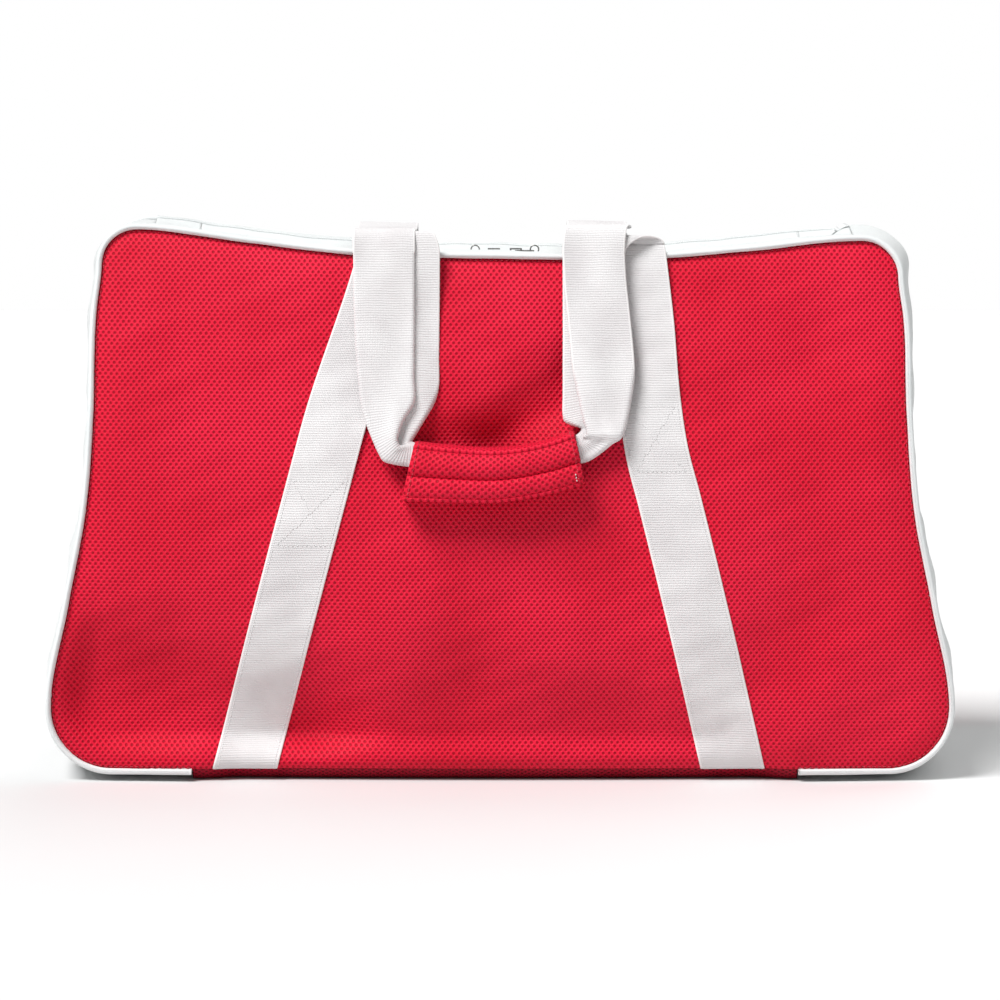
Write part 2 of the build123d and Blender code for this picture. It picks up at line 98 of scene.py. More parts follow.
# ---- top ----
HINGE_Y = 0.062              # where the flaps turn
LAP_Y = 0.057                # the fixed margin laps over the flap as far as this
HEM_Y = 0.013
TOP_HALF = 0.0008            # half the thickness of the cloth top
HEM_SHARE = (1.5, 1.5, 0.7)  # thickness of the flap's hem, row by row, as shares of that
TAPE_Y = (0.0032, 0.017)
TAPE_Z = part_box("zipper_tape_front")[1].z
TAPE_MIDDLE = TAPE_Z - 0.0006
TAPE_HALF = 0.0003
STIFF_X = 0.12              # the flap turns as one piece up to here; beyond it are its separate end stretches
TEETH_PITCH = 0.0021
TOOTH_WIRE = 0.00046         # radius of the coil's thread
CHANNEL_X = 0.2795           # the zipper's fixed ends run level as far as this
CHANNEL_Y = 0.0072           # half width of that level part
SLOT_Y = 0.0105              # half width of the slot in the fixed top above it
TAB_LENGTH = 0.008
TAB_HALF = 0.019             # half depth of the end tabs

# ---- webbing ----
WEB = 0.0018                 # thickness of the webbing
WEB_W = 0.05
RIB_PITCH, WARP_PITCH = 0.002, 0.0013
SEWN_OUT = 0.0011            # how far the webbing's middle lies out of the wall, sewn and loose
LOOSE_OUT = 0.0026
RISE_OUT = 0.0024            # and at the top edge, out of the wall's even surface
AXIS_Y = -0.0945             # the handles turn about this line
AXIS_Z = 0.427
LEAN = np.radians(15.1)      # the handles hang on the bulging wall
OUT = np.array([0, -np.cos(LEAN), np.sin(LEAN)])
UP = np.array([0, np.sin(LEAN), np.cos(LEAN)])


# ---- small helpers ----
def smooth(t):
    """0 below 0, 1 above 1 and an even S between them."""
    t = np.clip(t, 0, 1)
    return t * t * (3 - 2 * t)


def unit(v):
    """Vectors brought to length 1."""
    return v / np.maximum(np.linalg.norm(v, axis=-1, keepdims=True), 1e-12)


def lattice(*parts):
    """Grid of points, or of UVs, from coordinates that broadcast together."""
    return np.stack(np.broadcast_arrays(*parts), -1)


def curve_through(points, count=40, start=None, end=None):
    """Smooth curve through points, count steps from each to the next."""
    p = np.array(points, float)
    slope = np.gradient(p, axis=0)
    gap = np.linalg.norm(np.diff(p, axis=0), axis=1)
    for k in range(1, len(p) - 1):
        before, after = (p[k] - p[k - 1]) / gap[k - 1], (p[k + 1] - p[k]) / gap[k]
        slope[k] = (before * gap[k] + after * gap[k - 1]) / (gap[k] + gap[k - 1])
    slope[0] = (p[1] - p[0]) / gap[0] if start is None else start
    slope[-1] = (p[-1] - p[-2]) / gap[-1] if end is None else end
    t = np.linspace(0, 1, count + 1)[:-1, None]
    parts = []
    for k, length in enumerate(gap):
        parts.append(
            p[k] * (1 + 2 * t) * (1 - t) ** 2 + slope[k] * length * t * (1 - t) ** 2
            + p[k + 1] * t * t * (3 - 2 * t) + slope[k + 1] * length * t * t * (t - 1)
        )
    return np.vstack(parts + [p[-1:]])


def lengths(path):
    """Distance along a path to each of its points."""
    return np.concatenate([[0], np.cumsum(np.linalg.norm(np.diff(path, axis=0), axis=1))])


def along_path(at, s, path):
    """Values of a path at some distances along it, where s has the distances of its points."""
    return np.stack([np.interp(at, s, path[:, k]) for k in range(path.shape[1])], 1)


def respace(path, count):
    """The same path with count points, evenly spaced."""
    s = lengths(path)
    return along_path(np.linspace(0, s[-1], count), s, path)


def ripple(a, b, size, seed, waves=9):
    """Soft random hills about -1 to 1 over two coordinates, with hills about size across."""
    rng = np.random.default_rng(seed)
    total = 0
    for _ in range(waves):
        angle = rng.uniform(0, 2 * np.pi)
        k = 2 * np.pi / (size * rng.uniform(0.8, 2.2))
        total = total + np.sin(k * (a * np.cos(angle) + b * np.sin(angle)) + rng.uniform(0, 6.28))
    return total / np.sqrt(waves)


# ---- the outline and the walls ----
def arc(centre, radius, turn):
    """Points round a centre at those angles."""
    return np.stack([centre[0] + radius * np.cos(turn), centre[1] + radius * np.sin(turn)], 1)


def half_outline():
    """Right half of the outline, from the middle of the top to the middle of the foot."""
    top = curve_through(TOP_POINTS, start=(1, 0), end=(1, 0))
    side = curve_through(SIDE_POINTS, start=(0, -1), end=(0, -1))
    corner = arc(TOP_CORNER, TOP_CORNER_R, np.linspace(np.pi / 2, 0, 30)[1:-1])
    low = arc(LOW_CORNER, LOW_CORNER_R, np.linspace(0, -np.pi / 2, 40)[1:])
    return np.vstack([top, corner, side, low, [(0, SEAM_Z)]])


def full_outline():
    """Closed outline, clockwise from the middle of the foot as seen from the front, and its normals."""
    half = half_outline()
    left = half[::-1] * (-1, 1)
    path = np.vstack([left, half[1:]])
    path = respace(path, int(lengths(path)[-1] / STEP))
    along = unit(np.gradient(path, axis=0))
    return path, np.stack([-along[:, 1], along[:, 0]], 1)


OUTLINE, OUTWARD = full_outline()
TOP_EDGE = curve_through(TOP_POINTS, start=(1, 0), end=(1, 0))


def top_z(x):
    """Height of the walls' top edge at x."""
    return np.interp(np.abs(x), TOP_EDGE[:, 0], TOP_EDGE[:, 1])


def edge_distance(x, z):
    """Distance from points of a wall to its outline."""
    flat = np.stack([np.ravel(x), np.ravel(z)], 1)
    blocks = np.split(flat, range(2000, len(flat), 2000))
    near = [np.sqrt(((block[:, None] - OUTLINE[None]) ** 2).sum(2).min(1)) for block in blocks]
    return np.concatenate(near).reshape(np.shape(x))


def bare_wall_y(x, z):
    """Depth of the front wall's even surface, a bulging arc that is also curved in plan."""
    dy, dz = WALL_FOOT_Y - WALL_TOP_Y, TOP_POINTS[0][1] - SEAM_Z
    chord = np.hypot(dy, dz)
    radius = (chord**2 / 4 + WALL_BULGE**2) / (2 * WALL_BULGE)
    back = radius - WALL_BULGE
    mid_y, mid_z = -(WALL_FOOT_Y + WALL_TOP_Y) / 2, (TOP_POINTS[0][1] + SEAM_Z) / 2
    cy, cz = mid_y + back * dz / chord, mid_z - back * dy / chord
    axis = PLAN_RADIUS + mid_y - WALL_BULGE
    section = cy - np.sqrt(radius**2 - (z - cz) ** 2)
    return axis - np.sqrt((axis - section) ** 2 - x**2)


# Hollows that the load and the handles leave in each wall: two ends, half width and depth.
HOLLOWS = {
    FRONT: [
        ((0.08, 0.334), (-0.002, 0.266), 0.027, 0.013),
        ((-0.002, 0.266), (-0.06, 0.272), 0.022, 0.007),
        ((0.15, 0.3), (0.25, 0.33), 0.034, 0.0034),
        ((-0.35, 0.08), (-0.16, 0.04), 0.056, 0.02),
        ((-0.16, 0.036), (0.15, 0.026), 0.046, 0.0105),
        ((-0.02, 0.075), (0.1, 0.05), 0.03, 0.0045),
        ((0.23, 0.1), (0.29, 0.15), 0.034, 0.0036),
        ((-0.26, 0.33), (-0.19, 0.23), 0.032, 0.0034),
        ((0.18, 0.38), (0.25, 0.36), 0.026, 0.003),
    ],
    BACK: [
        ((0.02, 0.35), (-0.05, 0.25), 0.026, 0.0045),
        ((-0.28, 0.16), (-0.21, 0.11), 0.032, 0.004),
        ((0.18, 0.12), (0.27, 0.17), 0.034, 0.004),
        ((0.17, 0.34), (0.24, 0.27), 0.028, 0.0026),
    ],
}


def hollow_depth(wall, x, z):
    """How far the wall is pushed in, by its hollows and by soft unevenness."""
    depth = 0.0016 * ripple(x, z, 0.105, 11 + wall) + 0.0003 * ripple(x, z, 0.024, 21 + wall)
    for start, end, half_width, deep in HOLLOWS[wall]:
        run = np.subtract(end, start)
        t = np.clip(((x - start[0]) * run[0] + (z - start[1]) * run[1]) / (run @ run), 0, 1)
        away = np.hypot(x - start[0] - t * run[0], z - start[1] - t * run[1])
        depth = depth + deep * np.exp(-((away / half_width) ** 2))
    return depth


def foot_roll(x, z):
    """How far the wall is rolled under above the mesh bottom, nothing at the white gusset."""
    inside = np.minimum(x - BOTTOM_X[0], BOTTOM_X[1] - x)
    return FOOT_ROLL * np.exp(-np.maximum(z - SEAM_Z, 0) / FOOT_REACH) * smooth(inside / 0.04)


def wall_points(wall, x, z, out=0.0, roll=1.0):
    """Points on a wall's outer face, moved out by out."""
    x, z = np.broadcast_arrays(np.asarray(x, float), np.asarray(z, float))
    depth = roll * ROLL * np.exp(-edge_distance(x, z) / ROLL_REACH)
    depth = depth + foot_roll(x, z)
    settled = smooth(edge_distance(x, z) / 0.03)
    y = bare_wall_y(x, z) + depth + settled * hollow_depth(wall, x, z) - out
    return np.stack([x, -wall * y, z], -1)


def lopsided(points):
    """The bag's own unevenness: its left top corner stands higher than its right one."""
    p = np.array(points, float)
    share = smooth((p[..., 2] - 0.3) / 0.13) * smooth((np.abs(p[..., 1]) - 0.01) / 0.06)
    p[..., 2] -= LOPSIDED * p[..., 0] / 0.28 * share
    return p


# ---- meshes ----
def mesh_object(name, points, faces, uv, material):
    """Smooth-shaded object from points, arrays of faces and a UV for each point, in metres."""
    loops = np.concatenate([np.ravel(f) for f in faces]).astype(np.int32)
    sizes = np.concatenate([np.full(len(f), np.shape(f)[1]) for f in faces])
    starts = np.concatenate([[0], np.cumsum(sizes)[:-1]]).astype(np.int32)
    mesh = bpy.data.meshes.new(name)
    mesh.vertices.add(len(points))
    mesh.vertices.foreach_set("co", np.ravel(points).astype(np.float32))
    mesh.loops.add(len(loops))
    mesh.loops.foreach_set("vertex_index", loops)
    mesh.polygons.add(len(sizes))
    mesh.polygons.foreach_set("loop_start", starts)
    mesh.update(calc_edges=True)
    mesh.validate()
    mesh.polygons.foreach_set("use_smooth", np.ones(len(mesh.polygons), bool))
    layer = mesh.uv_layers.new(name="metres")
    layer.data.foreach_set("uv", np.asarray(uv, np.float32)[loops].ravel())
    mesh.materials.append(material)
    obj = bpy.data.objects.new(name, mesh)
    bpy.context.scene.collection.objects.link(obj)
    return obj


def quads(index):
    """Faces between the neighbours of a grid of point numbers."""
    return np.stack([index[:-1, :-1], index[1:, :-1], index[1:, 1:], index[:-1, 1:]], -1).reshape(-1, 4)


def grid_normals(grid):
    """Unit normals of a grid of points."""
    return unit(np.cross(np.gradient(grid, axis=0), np.gradient(grid, axis=1)))


def slab(name, grid, uv, out, inner, material, normals=None):
    """Closed piece of cloth about a grid of points: out above the grid and inner below it."""
    if normals is None:
        normals = grid_normals(grid)
    shape = grid.shape[:2]
    above = grid + normals * np.broadcast_to(out, shape)[..., None]
    below = grid - normals * np.broadcast_to(inner, shape)[..., None]
    top = np.arange(shape[0] * shape[1]).reshape(shape)
    low = top + top.size
    rims = [
        np.stack([low[:, 0], top[:, 0]], 1),
        np.stack([top[:, -1], low[:, -1]], 1),
        np.stack([top[0], low[0]], 1),
        np.stack([low[-1], top[-1]], 1),
    ]
    faces = [quads(top), quads(low[:, ::-1])] + [quads(rim) for rim in rims]
    points = np.vstack([above.reshape(-1, 3), below.reshape(-1, 3)])
    flat_uv = np.reshape(uv, (-1, 2))
    return mesh_object(name, points, faces, np.vstack([flat_uv, flat_uv]), material)


def grid_uv(grid):
    """UVs in metres: the distance along the middle line each way, centred across."""
    u = lengths(grid[grid.shape[0] // 2])
    v = lengths(grid[:, grid.shape[1] // 2])
    return lattice(u[None] - u[-1] / 2, v[:, None])


def tube(name, path, up, radius, material, sides=12):
    """Round cord along a path, closed at its ends. up points away from whatever it lies on."""
    along = unit(np.gradient(path, axis=0))
    across = unit(np.cross(along, up))
    lift = np.cross(across, along)
    turn = np.linspace(0, 2 * np.pi, sides, endpoint=False)
    radius = np.broadcast_to(radius, len(path))[:, None, None]
    ring = across[:, None] * np.cos(turn)[None, :, None] + lift[:, None] * np.sin(turn)[None, :, None]
    points = (path[:, None] + radius * ring).reshape(-1, 3)
    index = np.arange(len(points)).reshape(len(path), sides)
    index = np.hstack([index, index[:, :1]])
    ends = np.array([len(points), len(points) + 1])
    caps = [
        np.stack([index[0, 1:], index[0, :-1], np.full(sides, ends[0])], 1),
        np.stack([index[-1, :-1], index[-1, 1:], np.full(sides, ends[1])], 1),
    ]
    points = np.vstack([points, path[:1], path[-1:]])
    s = lengths(path)
    uv = lattice((turn * PIPING_R)[None], s[:, None]).reshape(-1, 2)
    uv = np.vstack([uv, [(0, 0)], [(0, s[-1])]])
    return mesh_object(name, points, [quads(index)[:, ::-1], *[c[:, ::-1] for c in caps]], uv, material)


STITCH_T = [-0.5, -0.3, 0.0, 0.3, 0.5]
STITCH_R = [0.0, 0.85, 1.0, 0.85, 0.0]
STITCH_LIFT = [-0.9, 0.15, 0.5, 0.15, -0.9]
STITCH_SIDES = 5
STITCH_SHARE = 0.72          # a stitch's length as a share of their pitch


def stitches(name, rows, material, pitch=0.0034, thread=0.00036):
    """Rows of separate stitches. Each row is a path and the direction away from the cloth."""
    parts, faces, uvs, first = [], [], [], 0
    turn = np.linspace(0, 2 * np.pi, STITCH_SIDES, endpoint=False)
    for path, up in rows:
        s = lengths(path)
        count = max(int(s[-1] / pitch), 1)
        at = (np.arange(count) + 0.5) * s[-1] / count
        middle = along_path(at, s, path)
        away = unit(along_path(at, s, up))
        along = unit(along_path(at + pitch / 4, s, path) - along_path(at - pitch / 4, s, path))
        side = np.cross(along, away)
        length = pitch * STITCH_SHARE
        rings = []
        for t, r, lift in zip(STITCH_T, STITCH_R, STITCH_LIFT):
            centre = middle + along * t * length + away * lift * thread
            for angle in turn if r else [0]:
                rings.append(centre + thread * r * (side * np.cos(angle) + away * np.sin(angle)))
        block = np.stack(rings, 1)
        parts.append(block.reshape(-1, 3))
        uvs.append(np.repeat(np.stack([at * 0, at], 1), block.shape[1], axis=0))
        base = first + np.arange(count)[:, None] * block.shape[1]
        body = 1 + np.arange(3 * STITCH_SIDES).reshape(3, STITCH_SIDES)
        body = np.hstack([body, body[:, :1]])
        faces.append((base[:, None] + quads(body)[None, :, ::-1]).reshape(-1, 4))
        last = 1 + 3 * STITCH_SIDES
        tips = np.vstack([
            np.stack([np.zeros(STITCH_SIDES, int), body[0, :-1], body[0, 1:]], 1),
            np.stack([np.full(STITCH_SIDES, last), body[-1, 1:], body[-1, :-1]], 1),
        ])
        faces.append((base[:, None] + tips[None]).reshape(-1, 3))
        first += block.shape[0] * block.shape[1]
    return mesh_object(name, np.vstack(parts), faces, np.vstack(uvs), material)


def lay(name, grid, out, inner, material, replaces=(), body="bag"):
    """Sheet of cloth about a grid, with its body, its slot and the CAD nodes it stands for."""
    return place(slab(name, grid, grid_uv(grid), out, inner, material), body, replaces)


def place(obj, body="bag", replaces=()):
    """Give a finished piece its body and hide the CAD nodes it stands for."""
    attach(obj, body)
    return dress(obj, replaces)


def dress(obj, replaces=()):
    """Hide the CAD nodes that a piece stands for."""
    if replaces:
        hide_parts(*replaces)
    return obj


# ---- materials ----
def add(tree, kind, *inputs, **settings):
    """Add a node and give its first output. An input is a value, a socket or None to leave it."""
    node = tree.nodes.new("ShaderNode" + kind)
    for key, value in settings.items():
        setattr(node, key, value)
    for socket, value in zip(node.inputs, inputs):
        if isinstance(value, bpy.types.NodeSocket):
            tree.links.new(value, socket)
        elif value is not None:
            socket.default_value = value
    return node.outputs[0]


def calc(tree, operation, *inputs):
    """One Math node."""
    return add(tree, "Math", *inputs, operation=operation)


def vector_math(tree, operation, *inputs):
    """One Vector Math node, and its number output where it has one."""
    socket = add(tree, "VectorMath", *inputs, operation=operation)
    return socket.node.outputs["Value"] if operation == "LENGTH" else socket


def ramp(tree, value, low, high, to_low=0.0, to_high=1.0):
    """Smooth step from to_low at low to to_high at high."""
    return add(tree, "MapRange", value, low, high, to_low, to_high, interpolation_type="SMOOTHSTEP")


def mix_colour(tree, share, first, second):
    """Colour between two others."""
    node = tree.nodes.new("ShaderNodeMix")
    node.data_type = "RGBA"
    for socket, value in ((node.inputs[0], share), (node.inputs[6], first), (node.inputs[7], second)):
        if isinstance(value, bpy.types.NodeSocket):
            tree.links.new(value, socket)
        else:
            socket.default_value = value
    return node.outputs[2]


def mix_value(tree, share, first, second):
    """Number between two others."""
    return add(tree, "MapRange", share, 0.0, 1.0, first, second)


def noise(tree, spot, scale, detail=3.0):
    """Noise texture from 0 to 1. scale is in features to the metre."""
    return add(tree, "TexNoise", spot, None, scale, detail)


def wobbled(tree, uv, scale, detail, reach):
    """UVs moved about unevenly, so that no thread runs dead straight."""
    colour = noise(tree, uv, scale, detail).node.outputs["Color"]
    wobble = vector_math(tree, "SUBTRACT", colour, (0.5, 0.5, 0.5))
    return vector_math(tree, "MULTIPLY_ADD", wobble, reach, uv)


def split_uv(tree, uv):
    """The two UV coordinates by themselves."""
    parts = tree.nodes.new("ShaderNodeSeparateXYZ")
    tree.links.new(uv, parts.inputs[0])
    return parts.outputs[0], parts.outputs[1]


def threads_wave(tree, coordinate, pitch):
    """Sine wave across threads that lie a pitch apart."""
    return calc(tree, "SINE", calc(tree, "MULTIPLY", coordinate, 2 * np.pi / pitch))


def patchy(tree, spot, scale, face, shade):
    """Colour in broad soft patches of two tones."""
    return mix_colour(tree, ramp(tree, noise(tree, spot, scale), 0.35, 0.7), face, shade)


def surface(name, roughness, metallic=0.0, sheen=0.0, sheen_tint=(1, 1, 1, 1), specular=0.4):
    """New material, with its tree, its shader and the UV and object coordinates."""
    material = bpy.data.materials.new(name)
    material.use_nodes = True
    tree = material.node_tree
    shader = tree.nodes["Principled BSDF"]
    shader.inputs["Roughness"].default_value = roughness
    shader.inputs["Metallic"].default_value = metallic
    shader.inputs["Sheen Weight"].default_value = sheen
    shader.inputs["Sheen Roughness"].default_value = 0.45
    shader.inputs["Sheen Tint"].default_value = sheen_tint
    shader.inputs["Specular IOR Level"].default_value = specular
    where = tree.nodes.new("ShaderNodeTexCoord")
    return material, tree, shader, where.outputs["UV"], where.outputs["Object"]


def finish_surface(tree, shader, colour, height, bump, rough=None):
    """Link a material's colour, its bump in metres and, where it varies, its roughness."""
    tree.links.new(colour, shader.inputs["Base Color"])
    node = tree.nodes.new("ShaderNodeBump")
    node.inputs["Distance"].default_value = bump
    tree.links.new(height, node.inputs["Height"])
    tree.links.new(node.outputs[0], shader.inputs["Normal"])
    if rough is not None:
        tree.links.new(rough, shader.inputs["Roughness"])


def spacer_mesh(name, bright, mid, painted_hole_shade):
    """Knitted spacer mesh: staggered oval holes, darkened with painted shade, between glossy threads."""
    pitch_x, pitch_z = MESH_PITCH
    hole_x, hole_z = MESH_HOLE
    material, tree, shader, uv, spot = surface(
        name, 0.55, sheen=0.02, sheen_tint=(1, 0.3, 0.35, 1), specular=0.14)
    uv = wobbled(tree, uv, 160.0, 1.0, (0.0009, 0.0009, 0))
    near = []
    for shift in (0.0, 0.5):
        cell = vector_math(tree, "MULTIPLY_ADD", uv, (1 / pitch_x, 1 / pitch_z, 0), (shift, shift, 0))
        part = vector_math(tree, "FRACTION", cell)
        offset = vector_math(tree, "SUBTRACT", part, (0.5, 0.5, 0))
        oval = vector_math(tree, "MULTIPLY", offset, (pitch_x / hole_x, pitch_z / hole_z, 0))
        near.append(vector_math(tree, "LENGTH", oval))
    nearest = calc(tree, "MINIMUM", *near)
    hole = ramp(tree, nearest, 1.35, 0.55)
    knit = noise(tree, uv, 1500.0, 2.0)
    broad = noise(tree, spot, 9.0, 2.0)
    base = mix_colour(tree, ramp(tree, broad, 0.3, 0.7), mid, bright)
    threads = mix_colour(tree, ramp(tree, knit, 0.35, 0.65, 0.0, 0.35), base, mid)
    # Painted shade: the holes take the darker hole tone.
    colour = mix_colour(tree, hole, threads, painted_hole_shade)
    height = calc(tree, "SUBTRACT", calc(tree, "MULTIPLY", knit, 0.22), ramp(tree, nearest, 1.7, 0.5))
    rough = ramp(tree, knit, 0.3, 0.7, 0.45, 0.62)
    finish_surface(tree, shader, colour, height, 0.0007, rough)
    return material


def webbing(name, face, shade, edge):
    """Woven polyester webbing: ribs across it, fine warp threads, painted shade where the weave lies low,
    and a smooth selvedge each side.
    """
    material, tree, shader, uv, spot = surface(name, 0.55, sheen=0.25)
    across, along = split_uv(tree, wobbled(tree, uv, 90.0, 2.0, (0.0004, 0.0012, 0)))
    ribs, warp = threads_wave(tree, along, RIB_PITCH), threads_wave(tree, across, WARP_PITCH)
    selvedge = ramp(tree, calc(tree, "ABSOLUTE", across), WEB_W / 2 - 0.0021, WEB_W / 2 - 0.001)
    grain = noise(tree, vector_math(tree, "MULTIPLY", uv, (1, 3, 1)), 700.0, 2.0)
    weave = calc(tree, "MULTIPLY_ADD", ribs, 0.35, calc(tree, "MULTIPLY_ADD", warp, 0.12, grain))
    base = patchy(tree, spot, 22.0, face, shade)
    # Painted shade: the webbing darkens towards its shade tone where the weave lies low, between the ribs.
    base = mix_colour(tree, ramp(tree, weave, 0.75, 0.1, 0.0, 0.4), base, shade)
    colour = mix_colour(tree, selvedge, base, edge)
    height = mix_value(tree, selvedge, weave, 0.9)
    finish_surface(tree, shader, colour, height, 0.00032)
    return material


def cloth(name, face, shade, thread, bump, roughness=0.6):
    """Tight plain-woven or knitted cloth with threads that far apart, and painted shade where the weave
    lies low.
    """
    material, tree, shader, uv, spot = surface(name, roughness, sheen=0.2)
    weave = calc(tree, "MULTIPLY", *[threads_wave(tree, axis, thread) for axis in split_uv(tree, uv)])
    grain = noise(tree, uv, 900.0, 2.0)
    height = calc(tree, "MULTIPLY_ADD", weave, 0.4, grain)
    base = patchy(tree, spot, 15.0, face, shade)
    # Painted shade: the cloth darkens towards its shade tone in the low spots between its threads.
    colour = mix_colour(tree, ramp(tree, height, 0.5, 0.0, 0.0, 0.6), base, shade)
    rough = ramp(tree, grain, 0.3, 0.7, roughness - 0.08, roughness + 0.1)
    finish_surface(tree, shader, colour, height, bump, rough)
    return material


def metal(name, colour, worn):
    """Bright-plated metal with faint polishing marks and duller worn patches."""
    material, tree, shader, _, spot = surface(name, 0.22, metallic=1.0)
    marks = noise(tree, vector_math(tree, "MULTIPLY", spot, (1, 8, 8)), 900.0)
    patches = noise(tree, spot, 260.0)
    tint = mix_colour(tree, ramp(tree, patches, 0.45, 0.7), colour, worn)
    finish_surface(tree, shader, tint, marks, 0.00004, ramp(tree, patches, 0.35, 0.7, 0.16, 0.34))
    return material


def moulded(name, face, shade):
    """Stiff plastic sheet with a fine pebbled face."""
    material, tree, shader, _, spot = surface(name, 0.5)
    pebble = add(tree, "TexVoronoi", spot, None, 650.0)
    broad = noise(tree, spot, 20.0)
    colour = patchy(tree, spot, 20.0, face, shade)
    finish_surface(tree, shader, colour, pebble, 0.0002, ramp(tree, broad, 0.3, 0.7, 0.42, 0.6))
    return material


def pile(name, face, shade):
    """Hook-and-loop tape: a dense short pile."""
    material, tree, shader, _, spot = surface(name, 0.85, sheen=0.4)
    tufts = add(tree, "TexVoronoi", spot, None, 1100.0)
    colour = mix_colour(tree, ramp(tree, tufts, 0.1, 0.6), face, shade)
    finish_surface(tree, shader, colour, tufts, 0.0007)
    return material


# The third colour of each mesh is painted shade in its holes.
RED = spacer_mesh("red_mesh", (0.77, 0.013, 0.05, 1), (0.67, 0.007, 0.032, 1), (0.33, 0.001, 0.01, 1))
# Darker copy of the red mesh for the bottom strip: painted shade under the walls' overhang.
RED_PAINTED_SHADE = spacer_mesh(
    "red_mesh_painted_shade", (0.36, 0.006, 0.024, 1), (0.3, 0.004, 0.018, 1), (0.12, 0.0006, 0.005, 1))
WEBBING = webbing(
    "white_webbing", (0.745, 0.73, 0.732, 1), (0.66, 0.635, 0.64, 1), (0.79, 0.77, 0.765, 1))
GUSSET = cloth("white_gusset", (0.76, 0.785, 0.78, 1), (0.72, 0.745, 0.745, 1), 0.0016, 0.0004)
PIPING = cloth("white_piping", (0.78, 0.8, 0.8, 1), (0.71, 0.74, 0.74, 1), 0.0009, 0.00015, roughness=0.5)
BINDING = cloth("binding_tape", (0.8, 0.8, 0.8, 1), (0.7, 0.7, 0.71, 1), 0.0012, 0.0003)
TAPE = cloth("zipper_tape", (0.8, 0.81, 0.81, 1), (0.71, 0.72, 0.73, 1), 0.001, 0.0003)
THREAD = cloth("white_thread", (0.88, 0.875, 0.87, 1), (0.78, 0.77, 0.77, 1), 0.0004, 0.0001)
RED_THREAD = cloth("red_thread", (0.7, 0.03, 0.07, 1), (0.52, 0.015, 0.04, 1), 0.0004, 0.0001)
COIL = cloth("zipper_coil", (0.84, 0.85, 0.85, 1), (0.76, 0.77, 0.78, 1), 0.0006, 0.00005, roughness=0.35)
NICKEL = metal("zipper_metal", (0.26, 0.255, 0.245, 1), (0.16, 0.155, 0.15, 1))
BOARD = moulded("base_board", (0.035, 0.036, 0.04, 1), (0.055, 0.056, 0.06, 1))
PILE = pile("hook_and_loop", (0.75, 0.74, 0.74, 1), (0.55, 0.54, 0.54, 1))


# ---- camera, floor and light ----
def make_camera():
    """Long lens, a little above the top of the bag, square to the front wall."""
    camera = bpy.data.objects.new("camera", bpy.data.cameras.new("camera"))
    bpy.context.scene.collection.objects.link(camera)
    bpy.context.scene.camera = camera
    away, tilt, front_y = 3.75, np.radians(5.8), -0.125
    across, centre_z, sensor = 0.798, 0.2245, 36
    camera.location = (0, front_y - away * np.cos(tilt), centre_z + away * np.sin(tilt))
    camera.rotation_euler = (np.pi / 2 - tilt, 0, 0)
    camera.data.sensor_width = sensor
    camera.data.lens = sensor * away / across
    camera.data.clip_end = 50


def soft_light(name, direction, spread, strength):
    """Large far softbox: it shines from a direction, over that many degrees."""
    light = bpy.data.lights.new(name, "SUN")
    light.angle = np.radians(spread)
    light.energy = strength
    obj = bpy.data.objects.new(name, light)
    bpy.context.scene.collection.objects.link(obj)
    obj.rotation_euler = Vector(direction).to_track_quat("Z", "Y").to_euler()


def make_studio():
    """Pale floor, white surroundings that light the bag less than they show, and two soft lights."""
    size = 6.0
    steps = np.linspace(-size, size, 13)
    grid = lattice(steps[:, None], steps[None], 0.0)
    index = np.arange(grid.size // 3).reshape(grid.shape[:2])
    material, tree, shader, _, spot = surface("pale_floor", 0.7)
    grain = noise(tree, spot, 3.0)
    tint = mix_colour(tree, grain, (0.69, 0.69, 0.69, 1), (0.71, 0.71, 0.71, 1))
    finish_surface(tree, shader, tint, grain, 0.0001)
    points = grid.reshape(-1, 3)
    floor = mesh_object("floor", points, [quads(index)], points[:, :2], material)
    world = bpy.data.worlds.new("studio")
    bpy.context.scene.world = world
    world.use_nodes = True
    tree = world.node_tree
    seen = tree.nodes.new("ShaderNodeLightPath").outputs["Is Camera Ray"]
    glow = mix_value(tree, seen, 0.33, 1.0)
    tree.links.new(glow, tree.nodes["Background"].inputs["Strength"])
    tree.nodes["Background"].inputs["Color"].default_value = (1, 1, 1, 1)
    soft_light("key", (-0.6, -0.55, 1.25), 26, 3.75)
    soft_light("rear", (0.5, 0.7, 0.75), 50, 1.0)
    bpy.context.scene.view_settings.view_transform = "Standard"


# ---- walls ----
def corner_index(target):
    """Number of the outline's point nearest to a target."""
    return int(np.argmin(((OUTLINE - target) ** 2).sum(1)))


def wall_grid(columns=240, rows=146):
    """Even grid of (x, z) that fills the outline, from four curves between the corners."""
    low, high = LOW_CORNER_R * np.sqrt(0.5), TOP_CORNER_R * np.sqrt(0.5)
    right_low = corner_index((LOW_CORNER[0] + low, LOW_CORNER[1] - low))
    right_top = corner_index((TOP_CORNER[0] + high, TOP_CORNER[1] + high))
    left_low = corner_index((-LOW_CORNER[0] - low, LOW_CORNER[1] - low))
    left_top = corner_index((-TOP_CORNER[0] - high, TOP_CORNER[1] + high))
    foot = np.vstack([OUTLINE[:left_low + 1][::-1], OUTLINE[right_low:][::-1]])
    foot = respace(foot, columns)
    top = respace(OUTLINE[left_top:right_top + 1], columns)
    left = respace(OUTLINE[left_low:left_top + 1], rows)
    right = respace(OUTLINE[right_top:right_low + 1][::-1], rows)
    u = np.linspace(0, 1, columns)[:, None, None]
    v = np.linspace(0, 1, rows)[None, :, None]
    between = (1 - v) * foot[:, None] + v * top[:, None] + (1 - u) * left[None] + u * right[None]
    corners = (1 - u) * ((1 - v) * foot[0] + v * top[0]) + u * ((1 - v) * foot[-1] + v * top[-1])
    return between - corners


